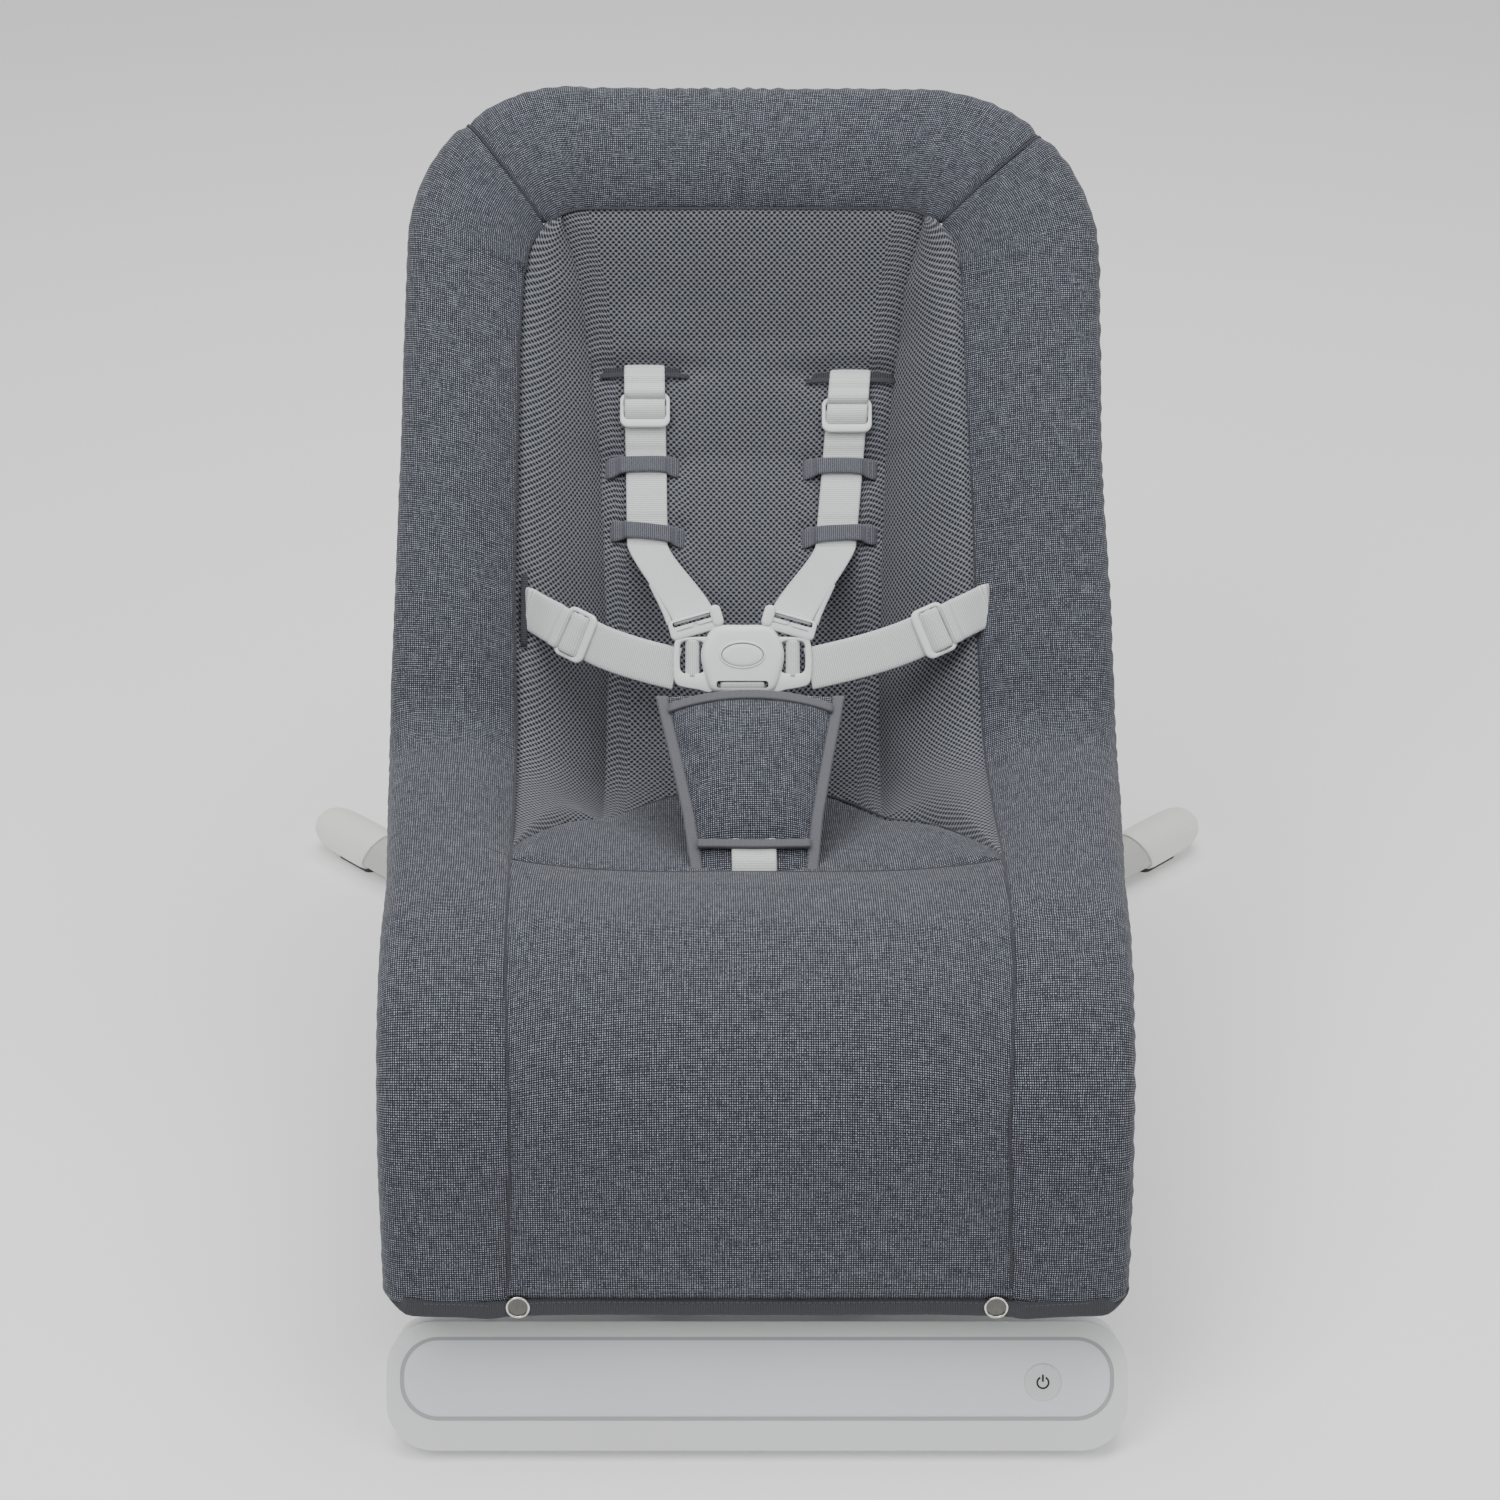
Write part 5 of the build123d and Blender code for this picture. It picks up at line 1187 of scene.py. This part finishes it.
# crotch pad
crotchPad = {"low": (-114.5, 248.5), "top": (-10.5, 304.5), "bindingWidth": 7.2, "pocketLow": 0.14,
             "pocketTop": 0.915}
padLow, padTop = np.array(crotchPad["low"]), np.array(crotchPad["top"])
padPlane = planeAt((0, *padLow), (0, -(padTop - padLow)[1], (padTop - padLow)[0]))
padLength = float(np.linalg.norm(padTop - padLow))


def padHalf(v):
    return np.interp(v, [0, 0.3, 0.63, 0.85, 1.0], [35.5, 39.5, 46.5, 51.5, 54.5])


def padPoint(u, v, lift):
    # u from -1 to 1 across, v from 0 at the seat to 1 at the buckle
    half = padHalf(v)
    centre = -1.5 - 2.5 * v
    bow = 5.0 * np.sin(np.pi * np.clip(v, 0, 1)) * (1 - 0.5 * u ** 2) - 5.0 * np.abs(u) ** 2.2
    place = np.broadcast_arrays(centre + u * half, v * padLength, lift + bow)
    return onPlane(padPlane, np.stack(place, axis=-1))


def crotchPadPieces():
    u, v = np.meshgrid(np.linspace(-1, 1, 40), np.linspace(0, 1, 50))
    base = padFrom("crotchPadBase", padPoint(u * 0.97, v, 0.6), padPoint(u * 0.97, v, -1.6),
                   [melange, lining], "seat")
    inner = 1 - crotchPad["bindingWidth"] * 0.8 / padHalf(v * 0.8 + 0.12)
    topEdge = crotchPad["pocketTop"] + 0.062 * (1 - u ** 2)
    vv = crotchPad["pocketLow"] + v * (topEdge - crotchPad["pocketLow"])
    uu = u * inner
    edge = np.minimum(np.minimum(1 - np.abs(u), 1.0) * 40, np.minimum(v, 1 - v) * 95)
    waves = np.vectorize(lambda a, b: ripple(a * 45, b * 100, 0, 24, 8.1))
    puff = 5.5 * (1 - np.exp(-edge / 9)) + 0.7 * waves(u, v)
    pocket = padFrom("crotchPadFront", padPoint(uu, vv, 1.8 + puff), padPoint(uu, vv, 1.5),
                     [melange, lining], "seat")
    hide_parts("crotch_pad")
    for side, tag in ((-1, "Left"), (1, "Right")):
        line = np.linspace(-0.01, 1.0, 60)
        reach = 1 - crotchPad["bindingWidth"] * 0.42 / padHalf(line)
        centres = padPoint(side * reach, line, 0.9)
        flatStrap("crotchBinding" + tag, centres, (1, 0, 0), crotchPad["bindingWidth"], 4.2, padBinding)
        inside = padPoint(side * (reach - 3.1 / padHalf(line)), line, 3.2)
        stitchRow("crotchStitches" + tag, inside, padPlane[3], 2.6, 1.8, 0.32)
    across = np.linspace(-1, 1, 40)
    reach = 1 - crotchPad["bindingWidth"] * 0.75 / padHalf(0.95)
    arc = padPoint(across * reach, crotchPad["pocketTop"] + 0.062 * (1 - across ** 2), 3.9)
    flatStrap("pocketBindingTop", arc, padPlane[2], 6.0, 3.0, padBinding)
    reach = 1 - crotchPad["bindingWidth"] * 0.75 / padHalf(0.12)
    arc = padPoint(across * reach, crotchPad["pocketLow"] - 0.022 * (1 - across ** 2), 4.0)
    flatStrap("pocketBindingLow", arc, padPlane[2], 5.6, 3.2, padBinding)
    stitchRow("pocketStitchesLow", arc + padPlane[2] * 2.2 + padPlane[3] * 1.5, padPlane[3], 2.6, 1.8, 0.32)
    seatEnd = padPoint(0, 0, -3.0)
    points = [seatEnd - padPlane[2] * 4] + [padPoint(0, v, lift) for v, lift in (
        (0.02, 1.6), (0.1, 2.0), (0.5, 1.0), (0.9, -2.6), (1.0, -3.2))]
    points += [onPlane(bucklePlane, (0, buckle["slotY"] + y, lift)) for y, lift in (
        (-4, -2.0), (-1.5, 3.0), (-0.2, 5.2), (1.2, 3.0), (1.6, -6.0))]  # up through the buckle's slot
    strap = webStrap("crotchStrap", smoothLine(points, 1.2), (1, 0, 0), 25.6)
    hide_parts("crotch_strap")


shoulderStrap(-1, "shoulderStrapLeft")
shoulderStrap(1, "shoulderStrapRight")
keepers()
strapSlots()
waistStrap(-1, "waistStrapLeft")
waistStrap(1, "waistStrapRight")
buckleBody()
buckleSides()
crotchPadPieces()
print("harness ready")


# control housing
housing = {"width": 407.0, "faceTilt": 30.0, "baseZ": 2.0, "cornerRadius": 26.0, "edgeRadius": 6.0,
           "panelWidth": 388.0, "panelHeight": 42.0, "trim": 2.0, "panelCorner": 19.0, "split": 24.0,
           "buttonX": 157.0, "buttonY": -2.0, "buttonRadius": 10.3}
tiltFace = math.radians(housing["faceTilt"])
facePlane = planeAt((0, -311.28, 42.31), (0, -math.cos(tiltFace), math.sin(tiltFace)))
ridgePoint, heelPoint = (-282.63, 70.0), (-230.5, 2.0)


def housingShells():
    # outline square to the control face, taken back to the floor plane and the rear slope
    low, high = -39.6, 31.6
    outline = roundRect(housing["width"], high - low, housing["cornerRadius"], 0, (high + low) / 2, 14)
    up, out = facePlane[2], facePlane[3]
    ridge, heel = np.array([0, *ridgePoint]), np.array([0, *heelPoint])
    slopeOut = np.array([0, ridge[2] - heel[2], heel[1] - ridge[1]])
    heelUp = float(np.dot(heel - facePlane[0], up))
    sides = [(housing["width"] / 2, heelUp), (-housing["width"] / 2, heelUp)]
    points = np.array(list(outline) + sides)
    order = np.argsort(np.arctan2(points[:, 1] - (high + low) / 2, points[:, 0]))
    points = points[order]
    front, back = [], []
    for x, v in points:
        onFace = facePlane[0] + facePlane[1] * x + up * v
        toFloor = (onFace[2] - housing["baseZ"]) / max(out[2], 1e-6)
        toSlope = float(np.dot(onFace - heel, slopeOut) / np.dot(out, slopeOut))
        depth = toFloor if v < heelUp - 1e-6 else toSlope
        depth = max(min(depth, 1e3), 1.0)
        front.append(onFace)
        back.append(onFace - out * depth)
    count = len(points)
    faces = gridFaces(2, count, closed=True)
    floorPart = [k for k in range(count) if points[k, 1] <= heelUp + 1e-6]
    slopePart = [k for k in range(count) if points[k, 1] >= heelUp - 1e-6]
    mesh = bpy.data.meshes.new("housingBlock")
    bm = bmesh.new()
    verts = [bm.verts.new(tuple(np.array(p) * mm)) for p in front + back]
    for face in faces:
        bm.faces.new([verts[k] for k in face])
    bm.faces.new([verts[k] for k in range(count)])
    for part in (floorPart, slopePart):
        bm.faces.new([verts[count + k] for k in part])
    bmesh.ops.recalc_face_normals(bm, faces=bm.faces)
    sharp = [e for e in bm.edges if len(e.link_faces) == 2 and e.calc_face_angle() > math.radians(25)]
    bmesh.ops.bevel(bm, geom=sharp, offset=housing["edgeRadius"] * mm, segments=5, profile=0.5,
                    affect="EDGES", clamp_overlap=True)
    bm.to_mesh(mesh)
    bm.free()
    block = bpy.data.objects.new("housingBlock", mesh)
    return block


def housingPieces():
    block = housingShells()
    for name, node, keepFront in (("housingFront", "housing_front_shell", True),
                                  ("housingRear", "housing_rear_shell", False)):
        bm = bmesh.new()
        bm.from_mesh(block.data)
        where = (facePlane[0] - facePlane[3] * (housing["split"] - (0.25 if keepFront else -0.25))) * mm
        whole = list(bm.verts) + list(bm.edges) + list(bm.faces)
        bmesh.ops.bisect_plane(bm, geom=whole, plane_co=tuple(where), plane_no=tuple(facePlane[3]),
                               clear_inner=keepFront, clear_outer=not keepFront)
        edges = [e for e in bm.edges if e.is_boundary]
        bmesh.ops.holes_fill(bm, edges=edges)
        bmesh.ops.recalc_face_normals(bm, faces=bm.faces)
        mesh = bpy.data.meshes.new(name)
        bm.to_mesh(mesh)
        bm.free()
        mesh.materials.append(housingPlastic)
        piece = bpy.data.objects.new(name, mesh)
        bpy.context.scene.collection.objects.link(piece)
        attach(piece, "base")
        if keepFront:
            recess = roundRect(housing["panelWidth"] + 2 * housing["trim"] + 0.1,
                               housing["panelHeight"] + 2 * housing["trim"] + 0.1,
                               housing["panelCorner"] + housing["trim"], steps=12)
            across = 2 * housing["buttonRadius"] + 0.8
            bore = ovalOutline(across, across, 48, housing["buttonX"], housing["buttonY"])
            cutAway(piece, [helperPrism(facePlane, outline, floor, 20)
                            for outline, floor in ((recess, -4.2), (bore, -8.0))])
        else:
            slope = planeAt((0, (ridgePoint[0] + heelPoint[0]) / 2, (ridgePoint[1] + heelPoint[1]) / 2),
                            (0, ridgePoint[1] - heelPoint[1], heelPoint[0] - ridgePoint[0]), (-1, 0, 0))
            door = roundRect(108.0, 42.0, 4.0, 128.0, -3.5, 6)
            inlet = ovalOutline(11.1, 11.1, 32, -150.0, -4.0)
            cutAway(piece, [helperPrism(slope, door, -6.0, 20), helperPrism(slope, inlet, -12.5, 20)])
        piece.data.polygons.foreach_set("use_smooth", [True] * len(piece.data.polygons))
        piece.data.set_sharp_from_angle(angle=math.radians(30))
        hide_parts(node)
    bpy.data.objects.remove(block)


def powerButton():
    across = 2 * housing["buttonRadius"]
    outline = ovalOutline(across, across, 64, housing["buttonX"], housing["buttonY"])
    button = plate("powerButton", facePlane, [
        (outline, 0.4, -3.4), (outline, 0, -3.0), (outline, 0, -0.55), (outline, 0.12, -0.2),
        (outline, 0.5, 0.0), (outline, 1.3, 0.05), (outline, 2.4, -0.12), (outline, 4.5, -0.4), (outline, 7.5, -0.5)],
        [buttonPlastic], "power_button", "button_plastic")
    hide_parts("power_button")
    loops = []
    for k in range(33):  # open ring of the on and off mark
        turn = math.radians(90 + 28 + (360 - 56) * k / 32)
        c, s = math.cos(turn), math.sin(turn)
        loops.append([onPlane(facePlane, (housing["buttonX"] + r * c, housing["buttonY"] - 0.2 + r * s, h))
                      for r, h in ((2.6, -0.7), (3.65, -0.7), (3.65, -0.3), (2.6, -0.3))])
    loft("powerRing", loops, [markInk], "power_button", smooth=False)
    bar = roundRect(1.1, 4.2, 0.45, housing["buttonX"], housing["buttonY"] + 2.2, 4)
    plate("powerBar", facePlane, [(bar, 0, -0.7), (bar, 0, -0.3)], [markInk], "power_button", "button_plastic",
          smooth=False)


housingPieces()
powerButton()
print("housing ready")


# feet
def footCaps():
    cap = {"floorZ": 18.0, "angle": 45.9, "pivot": (92.0, 119.5)}
    turn = math.radians(cap["angle"])
    for side, tag, body in ((1, "right", "leg_right"), (-1, "left", "leg_left")):
        low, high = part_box("foot_cap_" + tag)
        axis = np.array([side * math.sin(turn), math.cos(turn), 0])
        tip = np.array([(high[0] if side > 0 else low[0]), high[1], 0]) / mm
        # outermost point of the rounded end, along the leg
        reach = (tip[0] * axis[0] + tip[1] * axis[1]) - 8.0 * (abs(axis[0]) + axis[1] - 1)
        root = np.array([side * cap["pivot"][0], cap["pivot"][1], 0])
        start = np.dot(root, axis)
        sideways = np.array([axis[1], -axis[0], 0])
        loops = []
        for d, r in ((60.0, 14.1), (60.3, 15.0), (59.4, 15.7), (56, 16.0), (40, 16.0), (26, 15.8),
                     (17, 15.2), (10, 13.6), (5.5, 11.3), (2.4, 8.4), (0.8, 5.4), (0.1, 2.4)):
            loop = []
            for k in range(40):
                a = 2 * math.pi * k / 40
                shear = 7.0 * math.sin(a) * ease((d - 30) / 30)
                along = reach - start - d - shear
                droop = -2.0 * (1 - r / 16.0) if d < 20 else 0.0
                loop.append(root + axis * along + sideways * r * math.cos(a)
                            + np.array([0, 0, cap["floorZ"] + droop + r * math.sin(a)]))
            loops.append(loop)
        if side < 0:
            loops = [loop[::-1] for loop in loops]
        piece = loft("footCap" + tag.title(), loops, [capPlastic], body)
        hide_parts("foot_cap_" + tag)


footCaps()

# finishes of the carried-over parts
finishes = {
    "control_panel": panelGloss, "panel_trim_ring": trimPlasticAndShade, "control_board": boardGreen,
    "speaker": darkPlastic, "battery_cells": cellJacket, "battery_contacts": zincSteel,
    "battery_door": housingPlastic, "power_inlet": darkPlastic, "housing_foot_pads": softRubber,
    "case_screws": zincSteel, "hub_lower_shell": hubPlastic, "hub_upper_shell": hubPlastic,
    "swing_bearings": zincSteel, "drive_coil": copperWire, "travel_bumpers": softRubber,
    "drive_cable": darkPlastic, "leg_hinge_pins": zincSteel, "swing_post": zincSteel, "post_nut": zincSteel,
    "magnet_arm": darkPlastic, "drive_magnets": zincSteel, "cradle_saddle": hubPlastic,
    "cradle_tube": coatedTube, "cradle_ends": hubPlastic, "recline_pins": zincSteel,
    "base_arm_right": coatedTube, "base_arm_left": coatedTube, "rear_leg_right": coatedTube,
    "rear_leg_left": coatedTube, "sole_pad_right": softRubber, "sole_pad_left": softRubber,
    "upper_frame_tube": frameTube, "lower_frame_tube": frameTube, "frame_joints": darkPlastic,
}
for nodeName, finish in finishes.items():
    cadPiece = frame["nodes"][nodeName]
    for materialSlot in cadPiece.material_slots:
        materialSlot.material = finish
print("finishes ready")

# floor, lights and camera
view = {"distance": 2200.0, "elevation": 30.0, "target": (0.0, -32.5, 280.0), "lens": 90.8,
        "shift": -0.0047}


def studio():
    floor = bpy.data.meshes.new("floor")
    floor.from_pydata([(-6, -6, 0), (6, -6, 0), (6, 6, 0), (-6, 6, 0)], [], [(0, 1, 2, 3)])
    floorPiece = bpy.data.objects.new("floor", floor)
    bpy.context.scene.collection.objects.link(floorPiece)
    floor.materials.append(newMaterial("paleFloor", (0.86, 0.86, 0.86), 0.9, **{
        "Emission Color": (1, 1, 1, 1), "Emission Strength": 0.15})[0])
    world = bpy.data.worlds.new("studio")
    bpy.context.scene.world = world
    world.use_nodes = True
    world.node_tree.nodes["Background"].inputs[0].default_value = (1, 1, 1, 1)
    world.node_tree.nodes["Background"].inputs[1].default_value = 0.3
    for name, place, size, power in (("keyLight", (-1.1, -1.5, 2.4), 1.4, 44),
                                     ("fillLight", (1.7, -1.5, 1.8), 1.6, 18),
                                     ("topLight", (0.1, 0.1, 2.7), 2.2, 74)):
        lamp = bpy.data.lights.new(name, "AREA")
        lamp.size = size
        lamp.energy = power
        light = bpy.data.objects.new(name, lamp)
        light.location = place
        toSeat = Vector((0, -0.05, 0.28)) - Vector(place)
        light.rotation_euler = toSeat.to_track_quat("-Z", "Y").to_euler()
        bpy.context.scene.collection.objects.link(light)


def camera():
    lens = bpy.data.cameras.new("camera")
    lens.lens = view["lens"]
    lens.sensor_width = 36
    lens.shift_x = view["shift"]
    piece = bpy.data.objects.new("camera", lens)
    tilt = math.radians(view["elevation"])
    aim = Vector(view["target"]) * mm
    piece.location = aim + Vector((0, -math.cos(tilt), math.sin(tilt))) * view["distance"] * mm
    piece.rotation_euler = (math.radians(90) - tilt, 0, 0)
    bpy.context.scene.collection.objects.link(piece)
    bpy.context.scene.camera = piece


studio()
camera()
